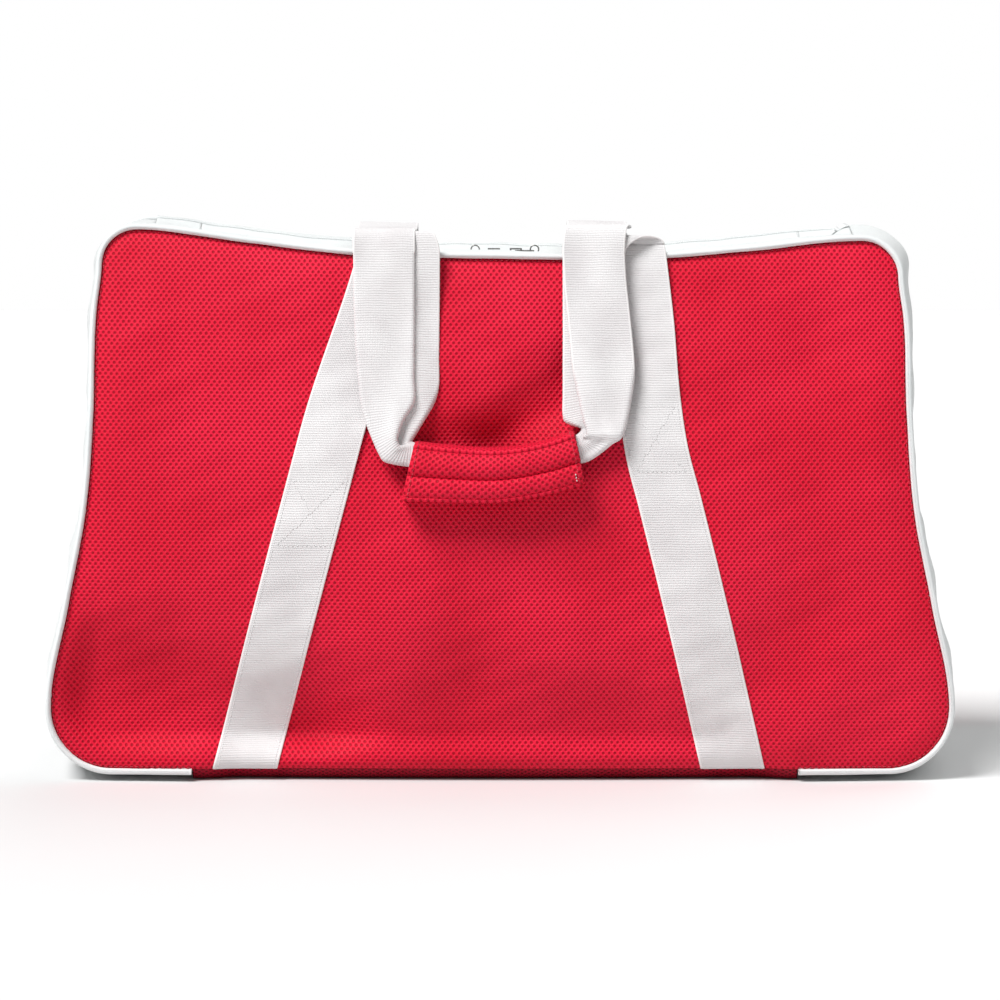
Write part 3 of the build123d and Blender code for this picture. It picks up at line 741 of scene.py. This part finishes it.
def make_walls():
    """Front and back mesh walls, each with its piping, its seam stitches and its inner binding."""
    grid = wall_grid()
    x, z = grid[..., 0], grid[..., 1]
    for name, wall in WALLS.items():
        points = lopsided(wall_points(wall, x, z))
        uv = np.stack([x, z * 1.03], -1)
        normals = np.broadcast_to(np.array([0.0, wall, 0.0]), points.shape)
        order = slice(None, None, -wall)
        panel = slab(name + "_wall", points[order], uv[order], 0.0, MESH, RED, normals[order])
        place(panel, replaces=[name + "_panel"])
        make_piping(name, wall)


def seam_path(wall, grow, inward, keep):
    """Line that follows a wall's outline, moved out by grow and into the bag by inward."""
    xz = (OUTLINE + OUTWARD * grow)[keep]
    edge = OUTLINE[keep]
    y = bare_wall_y(edge[:, 0], edge[:, 1]) + foot_roll(edge[:, 0], edge[:, 1]) + inward
    return lopsided(np.stack([xz[:, 0], -wall * y, xz[:, 1]], 1))


def make_piping(name, wall):
    """White piping in a wall's seam, the stitches beside it and the binding behind it."""
    x, z = OUTLINE.T
    at_foot = (z < SEAM_Z + 0.001) & (x > BOTTOM_X[0]) & (x < BOTTOM_X[1])
    keep = np.flatnonzero(~at_foot)
    path = seam_path(wall, 0.0022, 0.0016, keep)
    outward = np.stack([OUTWARD[keep, 0], np.zeros(len(keep)), OUTWARD[keep, 1]], 1)
    fat = PIPING_R * (1 + 0.05 * ripple(path[:, 0], path[:, 2], 0.03, 5 + wall))
    cord = tube(name + "_piping", path, outward, fat, PIPING)
    place(cord, replaces=["piping_" + name])

    groove = seam_path(wall, -0.0016, 0.0022, keep)
    up = np.broadcast_to(np.array([0.0, wall, 0.0]), groove.shape)
    thread = stitches(name + "_seam_stitches", [(groove, up)], RED_THREAD, pitch=0.0042, thread=0.0003)
    place(thread)

    rows = [seam_path(wall, -grow, ROLL + MESH + lift, slice(None)) for grow, lift in (
        (0.0002, 0.0004), (0.003, 0.001), (0.0085, 0.0008), (0.011, 0.0002))]
    strip = np.stack(rows, 1)[::-wall]
    lay(name + "_binding", strip, 0.0002, 0.0006, BINDING, ["binding_" + name])


# ---- gusset, bottom and top ----
def make_gussets():
    """White cloth round each end of the bag, from the bottom panel to the top."""
    for name, side in SIDES.items():
        start = corner_index((BOTTOM_X[0 if side == LEFT else 1], SEAM_Z))
        end = corner_index((side * TOP_END_X, top_z(TOP_END_X)))
        step = 1 if end > start else -1
        keep = np.arange(start, end + step, step)
        t = np.linspace(0, 1, 61)[None]
        edge, normal = OUTLINE[keep], OUTWARD[keep]
        front = bare_wall_y(edge[:, 0], edge[:, 1])[:, None] + SEAM_IN
        y = front * (1 - 2 * t)
        s = lengths(edge)[:, None]
        tuck = smooth(np.minimum(s, s[-1] - s) / 0.05)
        swell = np.sin(np.pi * t) ** 0.7
        folds = 0.0013 * ripple(s * 1.6, y * 0.7, 0.07, 31 + side) + 0.0005 * ripple(s, y, 0.025, 41 + side)
        from_seam = -front - np.abs(y)
        wave = np.sin(s * 2 * np.pi / 0.031 + ripple(s, 0 * s, 0.09, 45 + side))
        pucker = 0.0009 * wave * np.exp(-(((from_seam - 0.012) / 0.012) ** 2))
        bulge = GUSSET_EDGE_BULGE + (GUSSET_BULGE - GUSSET_EDGE_BULGE) * tuck + folds * tuck
        grow = 0.0012 + swell * bulge + pucker * tuck
        x = edge[:, :1] + normal[:, :1] * grow
        z = edge[:, 1:] + normal[:, 1:] * grow
        points = lopsided(np.stack([x, y, np.maximum(z, 0.0012)], -1))[:, ::-side]
        lay(name + "_gusset", points, 0.0, GUSSET_THICK, GUSSET, ["side_gusset_" + name])
        rows = edge_rows(points, slice(4, -4), (2, -3), 0.0002)
        place(stitches(name + "_gusset_stitches", rows, THREAD, pitch=0.004))


def make_bottom():
    """Mesh bottom in the red mesh's darker copy, which is painted shade: its long edges turn up to the
    walls' seams.
    """
    low_x, high_x = BOTTOM_X
    x = np.linspace(low_x, high_x, 170)
    t = np.linspace(0, 1, 9)
    drop = GROUND + SEAM_Z * (1 - t) ** 1.35
    edge = -bare_wall_y(x, np.full_like(x, SEAM_Z)) - BOTTOM_EDGE_IN - foot_roll(x, SEAM_Z)
    half_y = edge[:, None] - BOTTOM_FOLD * t[None]
    middle = np.linspace(1, -1, 62)[1:-1]
    y = np.hstack([half_y, (edge - BOTTOM_FOLD)[:, None] * middle[None], -half_y[:, ::-1]])
    z = np.concatenate([drop, np.full(len(middle), GROUND), drop[::-1]])
    grid = lattice(x[:, None], -y, z[None])
    grid[..., 2] += 0.0005 * smooth(grid[..., 2] / 0.01) * ripple(grid[..., 0], grid[..., 1], 0.03, 51)
    grid[..., 2] = np.maximum(grid[..., 2], 0.0004)
    # The bottom mesh takes the red mesh's darker copy, which is painted shade.
    lay("bottom_mesh", grid[::-1], 0.0, BOTTOM_THICK, RED_PAINTED_SHADE, ["bottom_panel"])


def top_surface(x, y):
    """Height of the cloth top: level along the zipper, and up at the seams and the corners."""
    across = (HINGE_Y - np.abs(y)) / (HINGE_Y - HEM_Y)
    seam_z = top_z(x) + 0.003
    end = smooth((np.abs(x) - FLAP_END_X) / (TOP_END_X - FLAP_END_X))
    middle_z = TAPE_Z + 0.0012 + (seam_z - TAPE_Z - 0.0012) * end
    share = smooth(np.clip(across, 0, 1) * 0.85) / smooth(0.85)
    slack = 0.0006 * ripple(x, y, 0.045, 61)
    return seam_z + (middle_z - seam_z) * share + slack * smooth((np.abs(y) - HEM_Y) / 0.01)


def seam_y(x):
    """Half depth of the top at its seams with the walls."""
    return -bare_wall_y(x, top_z(x)) - SEAM_IN


def make_top():
    """Fixed margins and ends of the top, and the flaps that open."""
    for name, wall in WALLS.items():
        node = "front" if wall == FRONT else "rear"
        x = np.linspace(-TOP_END_X, TOP_END_X, 230)[:, None]
        t = np.linspace(0, 1, 14)[None]
        y = seam_y(x) + (LAP_Y - seam_y(x)) * t
        over = 0.0013 * smooth(t * 3)
        grid = lopsided(lattice(x, wall * y, top_surface(x, y) + over)[::-wall])
        lay(name + "_top_margin", grid, TOP_HALF, TOP_HALF, GUSSET, ["top_margin_" + node])
        make_flap(node, wall)

    for name, side in SIDES.items():
        x = side * np.linspace(FLAP_END_X + 0.0003, TOP_END_X, 20)[:, None]
        reach = HINGE_Y - 0.0006
        for tag, first, last in (("_front", -reach, -SLOT_Y), ("_rear", SLOT_Y, reach)):
            y = np.linspace(first, last, 22)[None]
            grid = lopsided(lattice(x, y, top_surface(x, y))[::side])
            piece = "top_end_" + name
            lay(piece + tag, grid, TOP_HALF, TOP_HALF, GUSSET, [piece])


# The three stretches of the opening: the middle turns as one, and the ends are separate pieces.
SPANS = {"left": (-FLAP_END_X, -STIFF_X), "middle": (-STIFF_X, STIFF_X), "right": (STIFF_X, FLAP_END_X)}


def follow_flap(obj, span, body):
    """Middle pieces ride on the flap, and end pieces only have their placement baked into their mesh."""
    if span == "middle":
        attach(obj, body)
    else:
        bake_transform(obj)


def tooth_places(count, wall):
    """Places of a row of teeth. The rear row's teeth lie between the front row's."""
    return (np.arange(count) + (0.25 if wall == FRONT else 0.75)) * TEETH_PITCH


def span_teeth(low, high, wall):
    """Places of one half of the coil's teeth along a stretch of the zipper."""
    places = tooth_places(int(round(2 * FLAP_END_X / TEETH_PITCH)), wall) - FLAP_END_X
    return places[(places >= low) & (places < high)]


def coil(name, places, wall, rise=0.0):
    """Teeth of a coil zipper: a small closed loop of thread at each place, lifted by rise."""
    major, minor = 10, 6
    turn = np.linspace(0, 2 * np.pi, major, endpoint=False)
    loop_y = 0.0021 + 0.0026 * np.cos(turn)
    loop_z = TAPE_Z + 0.0009 + 0.00085 * np.sin(turn)
    ring = np.stack([np.zeros(major), wall * loop_y, loop_z], 1)
    outward = unit(ring - ring.mean(0))
    turn = np.linspace(0, 2 * np.pi, minor, endpoint=False)[None, :, None]
    section = np.cos(turn) * outward[:, None] + np.sin(turn) * np.array([1.0, 0, 0])
    one = (ring[:, None] + TOOTH_WIRE * section).reshape(-1, 3)
    index = np.pad(np.arange(major * minor).reshape(major, minor), (0, 1), mode="wrap")
    cells = quads(index)[:, ::-wall]
    shift = np.stack([places, places * 0, places * 0 + rise], 1)
    points = (one[None] + shift[:, None]).reshape(-1, 3)
    faces = (cells[None] + np.arange(len(places))[:, None, None] * major * minor).reshape(-1, 4)
    return mesh_object(name, points, [faces], points[:, :2], COIL)


def make_flap(node, wall):
    """One half of the opening: cloth, zipper tape, teeth and stitches, in three stretches."""
    body = "top_flap_" + node
    for span, (low, high) in SPANS.items():
        columns = int((high - low) / 0.003) + 1
        x = np.linspace(low, high, columns)[:, None]
        y = HINGE_Y + 0.0006 + (HEM_Y - HINGE_Y) * np.linspace(0, 1, 26)[None]
        grid = lopsided(lattice(x, wall * y, top_surface(x, y))[::-wall])
        thick = TOP_HALF * np.concatenate([np.ones(23), HEM_SHARE])
        cloth_piece = slab(f"flap_{node}_{span}", grid, grid_uv(grid), thick, thick, GUSSET)
        tape_y = np.linspace(TAPE_Y[1], TAPE_Y[0], 8)[None]
        tape_grid = lattice(x, wall * tape_y, TAPE_MIDDLE)[::-wall]
        tape_piece = slab(f"tape_{node}_{span}", tape_grid, grid_uv(tape_grid), TAPE_HALF, TAPE_HALF, TAPE)
        teeth = coil(f"teeth_{node}_{span}", span_teeth(low, high, wall), wall)
        row = grid[:, 22] + np.array([0, 0, 0.001])
        up = np.broadcast_to(np.array([0.0, 0, 1]), row.shape)
        thread = stitches(f"zip_stitches_{node}_{span}", [(row, up)], THREAD)
        pieces = (
            (cloth_piece, "white_gusset", ["top_flap_" + node]),
            (tape_piece, "zipper_tape", ["zipper_tape_" + node]),
            (teeth, "zipper_coil", ["zipper_chain_" + node]),
            (thread, "zipper_tape", []),
        )
        for piece, slot, nodes in pieces:
            follow_flap(piece, span, body)
            dress(piece, nodes)


def make_zipper_ends():
    """The fixed ends of the zipper, which rise with the top to a sewn end tab."""
    def height(x):
        """Height of the fixed top beside the zipper."""
        return top_surface(x, np.full_like(x, HEM_Y)) - 0.0018

    def channel(x, y):
        """Height of the tape: level where the sliders run, and up to the fixed top beside them."""
        beside = smooth((np.abs(y) - CHANNEL_Y) / 0.005)
        beyond = smooth((np.abs(x) - CHANNEL_X) / 0.0055)
        return TAPE_MIDDLE + (height(x) - TAPE_MIDDLE) * np.maximum(beside, beyond)

    for name, side in SIDES.items():
        x = side * np.linspace(FLAP_END_X, TOP_END_X, 40)[:, None]
        y = np.linspace(-TAPE_Y[1], TAPE_Y[1], 36)[None]
        grid = lattice(x, y, channel(x, y))[::side]
        lay("zip_end_tape_" + name, grid, TAPE_HALF, TAPE_HALF, TAPE, ["zipper_end_" + name])
        for node, wall in (("front", FRONT), ("rear", BACK)):
            count = int((ZIP_STOP_X - FLAP_END_X - 0.002) / TEETH_PITCH)
            places = side * (FLAP_END_X + tooth_places(count, wall))
            rise = channel(places, 0 * places) - TAPE_MIDDLE
            teeth = coil(f"zip_end_teeth_{name}_{node}", places, wall, rise)
            place(teeth)
        x = side * np.linspace(ZIP_STOP_X - TAB_LENGTH, TOP_END_X, 12)[:, None]
        y = np.linspace(-TAB_HALF, TAB_HALF, 16)[None]
        grid = lattice(x, y, height(x) + 0.004)[::side]
        lay("zip_tab_" + name, grid, 0.0006, 0.0006, PIPING)
        up = np.broadcast_to([0.0, 0, 1], (16, 3))
        rows = [(grid[k] + (0, 0, 0.0007), up) for k in (2, -3)]
        place(stitches("zip_tab_stitches_" + name, rows, THREAD))


# ---- webbing ----
SECTION = np.concatenate([[-1, -0.985], np.linspace(-0.955, 0.955, 45), [0.985, 1]])
EDGE_SHARE = np.clip((np.abs(SECTION) - 0.94) / 0.06, 0, 1)
WEB_HALF = WEB / 2 * np.maximum(np.sqrt(1 - EDGE_SHARE**2), 0.3)


def ribbon(name, grid):
    """Webbing about a grid of points, stations by the places in SECTION."""
    v = lengths(grid[:, len(SECTION) // 2])
    uv = lattice(SECTION[None] * WEB_W / 2, v[:, None])
    return slab(name, grid, uv, WEB_HALF[None], WEB_HALF[None], WEBBING)


STRAP_LINES = {
    "left": [
        (-0.204, SEAM_Z), (-0.172, 0.134), (-0.143, 0.244), (-0.1318, 0.2855), (-0.0955, 0.395),
        (-0.086, 0.427),
    ],
    "right": [
        (0.186, SEAM_Z), (0.16, 0.122), (0.135, 0.224), (0.125, 0.263), (0.1183, 0.309), (0.114, 0.364),
        (0.107, 0.427),
    ],
}
BACK_LINES = {
    "left": [(-0.202, SEAM_Z), (-0.1365, 0.244), (-0.0933, 0.427)],
    "right": [(0.1845, SEAM_Z), (0.121, 0.303), (0.0806, 0.427)],
}
SEWN_TOP = {"left": 0.244, "right": 0.303}
BACK_HANG_X = {"left": -0.0933, "right": 0.0806}
CROSS_Z = 0.436
CROSS_LIFT = {"left": 0.0015, "right": 0.0045}
CROSS_START_Y = -0.0765


def strap_grid(wall, line, sewn_top):
    """Webbing up a wall: tight to it where it is sewn, and lying loosely on it above."""
    path = respace(curve_through(line), 150)
    slope = np.hypot(1, np.gradient(path[:, 0]) / np.gradient(path[:, 1]))
    x = path[:, :1] + slope[:, None] * SECTION[None] * WEB_W / 2
    z = np.broadcast_to(path[:, 1:], x.shape)
    free = smooth((z - sewn_top + 0.004) / 0.02)
    at_top = smooth((z - 0.37) / 0.05)
    tight = wall_points(wall, x, z, out=SEWN_OUT)
    loose = wall_points(wall, x, z, out=LOOSE_OUT, roll=0.0)
    loose[..., 1] = loose[..., 1] * (1 - at_top) + at_top * -wall * (bare_wall_y(x, z) - RISE_OUT)
    return tight * (1 - free[..., None]) + loose * free[..., None]


def edge_rows(grid, rows, columns, lift):
    """Rows of stitches along a piece of webbing, as paths and their directions."""
    normals = grid_normals(grid)
    return [(grid[rows, c] + normals[rows, c] * lift, normals[rows, c]) for c in columns]


def box_stitches(grid, top_row, height_rows, lift):
    """Sewn box with a cross in it below a row of the webbing."""
    normals = grid_normals(grid)
    low_row = top_row - height_rows
    left, right = 6, len(SECTION) - 7
    corners = [(low_row, left), (low_row, right), (top_row, right), (top_row, left)]
    runs = [(0, 1), (2, 3), (0, 2), (1, 3)]
    rows = []
    for a, b in runs:
        r = np.linspace(corners[a][0], corners[b][0], 24).round().astype(int)
        c = np.linspace(corners[a][1], corners[b][1], 24).round().astype(int)
        rows.append((grid[r, c] + normals[r, c] * lift, normals[r, c]))
    return rows


def make_straps():
    """Webbing sewn up each wall. At the back it goes on over the top of the bag."""
    lift = WEB / 2 + 0.0001
    columns = (4, len(SECTION) - 5)
    for name, wall in WALLS.items():
        for side in SIDES:
            line = (STRAP_LINES if wall == FRONT else BACK_LINES)[side]
            grid = strap_grid(wall, line, SEWN_TOP[side])
            sewn = int(np.sum(grid[:, 24, 2] < SEWN_TOP[side]))
            if wall == FRONT:
                grid = grid[::-1]
                sewn_rows = np.arange(len(grid) - sewn, len(grid))
                top_row, box_rows = len(grid) - sewn + 1, -18
            else:
                grid = np.vstack([grid, crossing(side)[1:]])
                sewn_rows = np.arange(sewn)
                top_row, box_rows = sewn - 1, 18
            nodes = [f"{name}_strap_{side}", f"{name}_rise_{side}"]
            nodes += [f"back_cross_{side}"] if wall == BACK else []
            piece = ribbon(f"{name}_webbing_{side}", grid)
            place(piece, replaces=nodes)
            rows = edge_rows(grid, sewn_rows, columns, lift) + box_stitches(grid, top_row, box_rows, lift)
            thread = stitches(f"{name}_strap_stitches_{side}", rows, THREAD, thread=0.00026)
            place(thread)


def crossing(side):
    """The back handle's way over the back edge and across the top, as a grid."""
    radius = 0.009
    x = BACK_HANG_X[side]
    edge_y = -bare_wall_y(x, AXIS_Z) + RISE_OUT - radius
    turn = np.linspace(0, np.pi / 2, 12)
    lift = CROSS_LIFT[side]
    arc_y = edge_y + radius * np.cos(turn)
    arc_z = AXIS_Z + (CROSS_Z + lift * 0.4 - AXIS_Z) * np.sin(turn)
    flat_y = np.linspace(arc_y[-1], CROSS_START_Y, 60)[1:]
    t = (arc_y[-1] - flat_y) / (arc_y[-1] - CROSS_START_Y)
    flat_z = CROSS_Z + lift * (0.4 + 0.6 * t) - 0.003 * np.sin(np.pi * t)
    y, z = np.concatenate([arc_y, flat_y]), np.concatenate([arc_z, flat_z])
    section = x + SECTION * WEB_W / 2
    wave = 0.0008 * np.sin(SECTION * 2.2 + y[:, None] * 40)
    share = smooth(np.arange(len(y)) / 20)[:, None]
    return lattice(section[None], y[:, None], z[:, None] + wave * share)


def hanging(x, z, n):
    """Point of the hanging handles at x and z, n out of their plane."""
    v = (z - AXIS_Z - n * OUT[2]) / UP[2]
    return lattice(x, AXIS_Y + v * UP[1] + n * OUT[1], z)


# Each hanging leg, row by row: x and z of its left edge, x and z of its right edge, and how far out
# of the handles' plane it lies. Where the rows get shorter the webbing's edges fold behind it.
LEGS = {
    "back_left": [
        (-0.1167, 0.42, -0.0688, 0.42, 0.0087), (-0.1158, 0.38, -0.0688, 0.38, 0.0088),
        (-0.1143, 0.347, -0.0688, 0.347, 0.0094), (-0.1122, 0.322, -0.0688, 0.324, 0.0106),
        (-0.1094, 0.302, -0.0688, 0.304, 0.0122), (-0.105, 0.287, -0.076, 0.292, 0.0132),
        (-0.1, 0.2745, -0.08, 0.282, 0.0136), (-0.095, 0.264, -0.0815, 0.274, 0.0132),
        (-0.0915, 0.2588, -0.0795, 0.27, 0.0126), (-0.085, 0.2568, -0.0765, 0.27, 0.0116),
        (-0.075, 0.2553, -0.073, 0.271, 0.0106), (-0.06, 0.254, -0.06, 0.27, 0.01),
    ],
    "front_left": [
        (-0.0975, 0.42, -0.0482, 0.42, 0.0053), (-0.0975, 0.38, -0.0485, 0.38, 0.0053),
        (-0.0975, 0.34, -0.049, 0.34, 0.0053), (-0.097, 0.313, -0.0496, 0.314, 0.0054),
        (-0.095, 0.3, -0.053, 0.304, 0.0058), (-0.0915, 0.288, -0.0605, 0.2905, 0.0066),
        (-0.0885, 0.277, -0.069, 0.2765, 0.0076), (-0.0845, 0.268, -0.0712, 0.2735, 0.0086),
        (-0.077, 0.259, -0.069, 0.2725, 0.0086), (-0.06, 0.256, -0.06, 0.271, 0.0085),
    ],
    "back_right": [
        (0.05, 0.42, 0.0992, 0.42, 0.0087), (0.0512, 0.398, 0.1005, 0.398, 0.009),
        (0.053, 0.378, 0.1028, 0.378, 0.0094), (0.0555, 0.354, 0.1052, 0.354, 0.01),
        (0.058, 0.331, 0.1066, 0.331, 0.0108), (0.0625, 0.309, 0.1046, 0.312, 0.0118),
        (0.0662, 0.292, 0.101, 0.293, 0.013), (0.069, 0.283, 0.0985, 0.284, 0.015),
        (0.0688, 0.279, 0.0968, 0.279, 0.0158), (0.0668, 0.2765, 0.0955, 0.2755, 0.0142),
        (0.066, 0.275, 0.0885, 0.2715, 0.0122), (0.0655, 0.2735, 0.079, 0.2645, 0.011),
        (0.064, 0.2725, 0.07, 0.259, 0.0104), (0.052, 0.27, 0.056, 0.257, 0.01),
    ],
    "front_right": [
        (0.05, 0.42, 0.1, 0.42, 0.0053), (0.05, 0.38, 0.1, 0.38, 0.0053),
        (0.05, 0.34, 0.0998, 0.34, 0.0053), (0.05, 0.305, 0.0985, 0.313, 0.0055),
        (0.0502, 0.295, 0.097, 0.305, 0.006), (0.052, 0.2892, 0.0945, 0.297, 0.0068),
        (0.0575, 0.2872, 0.0915, 0.29, 0.0074), (0.064, 0.285, 0.088, 0.282, 0.008),
        (0.065, 0.2822, 0.08, 0.272, 0.0084), (0.0615, 0.2785, 0.068, 0.265, 0.0085),
        (0.05, 0.2725, 0.052, 0.261, 0.0085),
    ],
}
FRONT_HEAD = {"left": -0.086, "right": 0.107}
FRONT_PEAK = {"left": 0.4375, "right": 0.434}
LEG_ROWS = 130


def leg_section(width):
    """Where the webbing lies across a leg of that visible width: sideways and outward."""
    half = WEB_W / 2
    s = SECTION * half
    excess = max(half - width / 2, 0)
    across, out = np.array(s), np.zeros_like(s)
    for side, largest in ((LEFT, 0.0021), (RIGHT, 0.0029)):
        radius = max(min(largest, excess / 1.2), 1e-6)
        flat = width / 2 - radius
        past = np.maximum(s * side - flat, 0)
        arc = np.minimum(past, np.pi * radius)
        folded = past > 0
        turned = side * (flat + radius * np.sin(arc / radius) - (past - arc))
        across[folded] = turned[folded]
        out[folded] = -radius * (1 - np.cos(arc / radius))[folded]
    return across, out


def leg_grid(rows, head, seed, curl):
    """Grid of a handle's leg: its turn over the top edge, and then its way down to the grip."""
    left_x, left_z, right_x, right_z, n = respace(curve_through(rows, count=16), LEG_ROWS).T
    left, right = hanging(left_x, left_z, n), hanging(right_x, right_z, n)
    path = np.vstack([head, (left + right) / 2])
    spread = np.vstack([np.tile([WEB_W, 0, 0], (len(head), 1)), right - left])
    along = unit(np.gradient(path, axis=0))
    facing = -unit(np.cross(spread, along))
    s = lengths(path)
    grid = []
    for k, span in enumerate(spread):
        width = np.linalg.norm(span)
        across, out = leg_section(width)
        gathered = 1 - smooth((width - 0.016) / 0.03)
        out = out + 0.001 * gathered * ripple(SECTION * WEB_W / 2, s[k] * 0.22, 0.011, seed)
        out = out + 0.0011 * np.sin(np.pi * SECTION) * smooth(s[k] / 0.04) * np.sin(s[k] * 38 + seed)
        out = out - curl * smooth((SECTION + 0.1) / 1.3) * smooth((s[k] - 0.03) / 0.05) * (1 - gathered)
        grid.append(path[k] + across[:, None] * span / width + out[:, None] * facing[k])
    return np.array(grid)


def leg_start(name):
    """Middle of a leg's first row."""
    left, _, right, height, n = LEGS[name][0]
    return hanging((left + right) / 2, height, n)


def turn_path(points, heading):
    """Path of a handle's turn, without its last point, which is the leg's first one."""
    return respace(curve_through(points, count=10, start=heading, end=-UP), 34)[:-1]


def front_turn(side):
    """Path of the front handle from the top of its rising part, over and down to the leg."""
    x = FRONT_HEAD[side]
    line = STRAP_LINES[side]
    rise = np.subtract(line[-1], line[-2])
    start = np.array([x, bare_wall_y(x, AXIS_Z) - RISE_OUT, AXIS_Z])
    heading = unit(np.array([rise[0], 0.2 * rise[1], rise[1]]))
    end = leg_start("front_" + side)
    peak = FRONT_PEAK[side] - WEB / 2
    over = (start + end) / 2 + (0, 0.0002, 0)
    return turn_path([start, (over[0], over[1], peak), end], heading)


def back_turn(side):
    """Path of the back handle from its run across the top, over the front edge to the leg."""
    end = leg_start("back_" + side)
    level = CROSS_Z + CROSS_LIFT[side]
    start = np.array([BACK_HANG_X[side], CROSS_START_Y, level])
    knee = start * (0.35, 0, 0) + end * (0.65, 0, 0)
    points = [start, knee + (0, -0.0965, level + 0.0002), end]
    return turn_path(points, np.array([0.0, -1.0, 0.1]))


def make_handles():
    """Hanging legs of both handles, which bend from the bag at the top edge."""
    plans = (
        ("front", front_turn, (-0.006, 0.003), 0.004),
        ("back", back_turn, (-0.001, 0.0046), 0.0),
    )
    for name, turn, (start, end), curl in plans:
        for side, seed in (("left", 3), ("right", 8)):
            grid = leg_grid(LEGS[f"{name}_{side}"], turn(side), seed + len(name), curl)
            leg = ribbon(f"{name}_handle_{side}_webbing", grid)
            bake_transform(leg)
            nodes = [f"{name}_handle_{side}", f"{name}_bend_{side}"]
            dress(leg, nodes)


# ---- grip ----
GRIP_LINE = [(-0.08, 0.251), (-0.04, 0.2485), (0.0, 0.2475), (0.035, 0.253), (0.072, 0.264)]
GRIP_HALF = [(-0.08, 0.0225), (-0.04, 0.0205), (0.0, 0.0195), (0.035, 0.0195), (0.072, 0.021)]
GRIP_ENDS = ((-0.0725, 0.01), (0.063, -0.008))   # middle of each end, and its slant


def grip_point(u, v, n):
    """Point of the grip: u along it from 0 to 1, v up it from -1 to 1, n out of the handles' plane."""
    (left, slant_left), (right, slant_right) = GRIP_ENDS
    left_x, right_x = left + slant_left * v * 0.5, right + slant_right * v * 0.5
    x = left_x + (right_x - left_x) * u
    centre = curve_through(GRIP_LINE)
    half = curve_through(GRIP_HALF)
    z = np.interp(x, centre[:, 0], centre[:, 1]) + v * np.interp(x, half[:, 0], half[:, 1])
    return hanging(x, z, n)


def grip_grid(profile, columns=74):
    """Grid along the grip of a profile of (v, n), pulled in a little at both ends."""
    u = np.linspace(0, 1, columns)[:, None]
    v, n = profile[:, 0][None], profile[:, 1][None]
    puff = np.sin(np.pi * u) ** 0.35
    middle = 0.009
    n = middle + (n - middle) * (0.8 + 0.2 * puff)
    n = n + 0.0004 * ripple(u * 0.14, v * 0.02, 0.02, 71)
    return grip_point(u, v, n)[::-1]


def hem_share(shape, last):
    """Thickness of a padded piece as a share: thinner at its ends and along its last rows."""
    soft = np.ones(shape)
    soft[:2] *= [[0.45], [0.85]]
    soft[-2:] *= [[0.85], [0.45]]
    soft[:, -2:] *= last
    return soft


def make_grip():
    """Padded mesh sleeve round the gathered webbing, closed by a flap over its front."""
    back = curve_through([
        (1.0, 0.0125), (0.97, 0.0045), (0.72, 0.0018), (0.0, 0.0014), (-0.8, 0.0018), (-0.97, 0.006),
        (-0.98, 0.011), (-0.85, 0.0146), (-0.5, 0.0152), (-0.15, 0.0152),
    ], count=8)
    sleeve_grid = grip_grid(back)
    half = 0.0016 * hem_share(sleeve_grid.shape[:2], [0.9, 0.5])
    sleeve = lay("grip_sleeve", sleeve_grid, half, half, RED, ["grip_wrap"], "handles")

    front = curve_through([
        (0.93, 0.01), (1.02, 0.0136), (1.0, 0.0184), (0.84, 0.023), (0.52, 0.0264), (0.2, 0.0262),
        (-0.03, 0.0232), (-0.13, 0.0202), (-0.24, 0.0226), (-0.5, 0.0232), (-0.8, 0.0206), (-1.0, 0.0162),
    ], count=8)
    flap_grid = grip_grid(front)
    half = 0.0017 * hem_share(flap_grid.shape[:2], [0.85, 0.45])
    flap = lay("grip_flap", flap_grid, half, half, RED, ["wrap_flap"], "wrap_flap")
    make_grip_details(flap_grid)


def make_grip_details(flap_grid):
    """Stitches and tacks on the flap, the hook-and-loop tapes, and the webbing inside."""
    normals = grid_normals(flap_grid)
    groove, low = int(flap_grid.shape[1] * 0.6), flap_grid.shape[1] - 4

    def row(lift, *at):
        """Row of stitches over part of the flap's grid."""
        return flap_grid[at] + normals[at] * lift, normals[at]

    rows = [row(0.0019, slice(2, -2), column) for column in (groove, low)]
    rows += [row(0.0019, end, slice(8, -3)) for end in (2, -3)]
    place(stitches("grip_stitches", rows, RED_THREAD), "wrap_flap")

    tacks = [row(0.0021, slice(-9, -1), low), row(0.0021, 3, slice(72, 81))]
    place(stitches("grip_tacks", tacks, THREAD, pitch=0.0022, thread=0.00055), "wrap_flap")

    for name, body, n in (("loop", "handles", 0.0174), ("hook", "wrap_flap", 0.0184)):
        strip = grip_grid(lattice(np.linspace(-0.25, -0.82, 14), n))[3:-3]
        lay(name + "_strip", strip, 0.0004, 0.0004, PILE, [name + "_tape"], body)

    for name, n in (("front", 0.0062), ("back", 0.0108)):
        profile = [(0.8, n), (0.3, n + 0.0006), (-0.3, n - 0.0005), (-0.78, n)]
        core = grip_grid(curve_through(profile, count=8))
        node = name + "_handle_grip"
        lay(name + "_core", core, 0.0017, 0.0017, WEBBING, [node], "handles")


# ---- kept CAD nodes ----
def finish_kept_nodes():
    """Sliders, pulls, rings and the base board keep their CAD shape and get a real finish."""
    for side in SIDES:
        for part in ("slider_", "pull_", "ring_"):
            refinish(part + side, NICKEL)
    refinish("base_board", BOARD)


def refinish(node, material):
    """Put a material on a CAD node."""
    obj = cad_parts[node]
    obj.data.materials.clear()
    obj.data.materials.append(material)


make_camera()
make_studio()
make_walls()
make_gussets()
make_bottom()
make_top()
make_zipper_ends()
make_straps()
make_handles()
make_grip()
finish_kept_nodes()
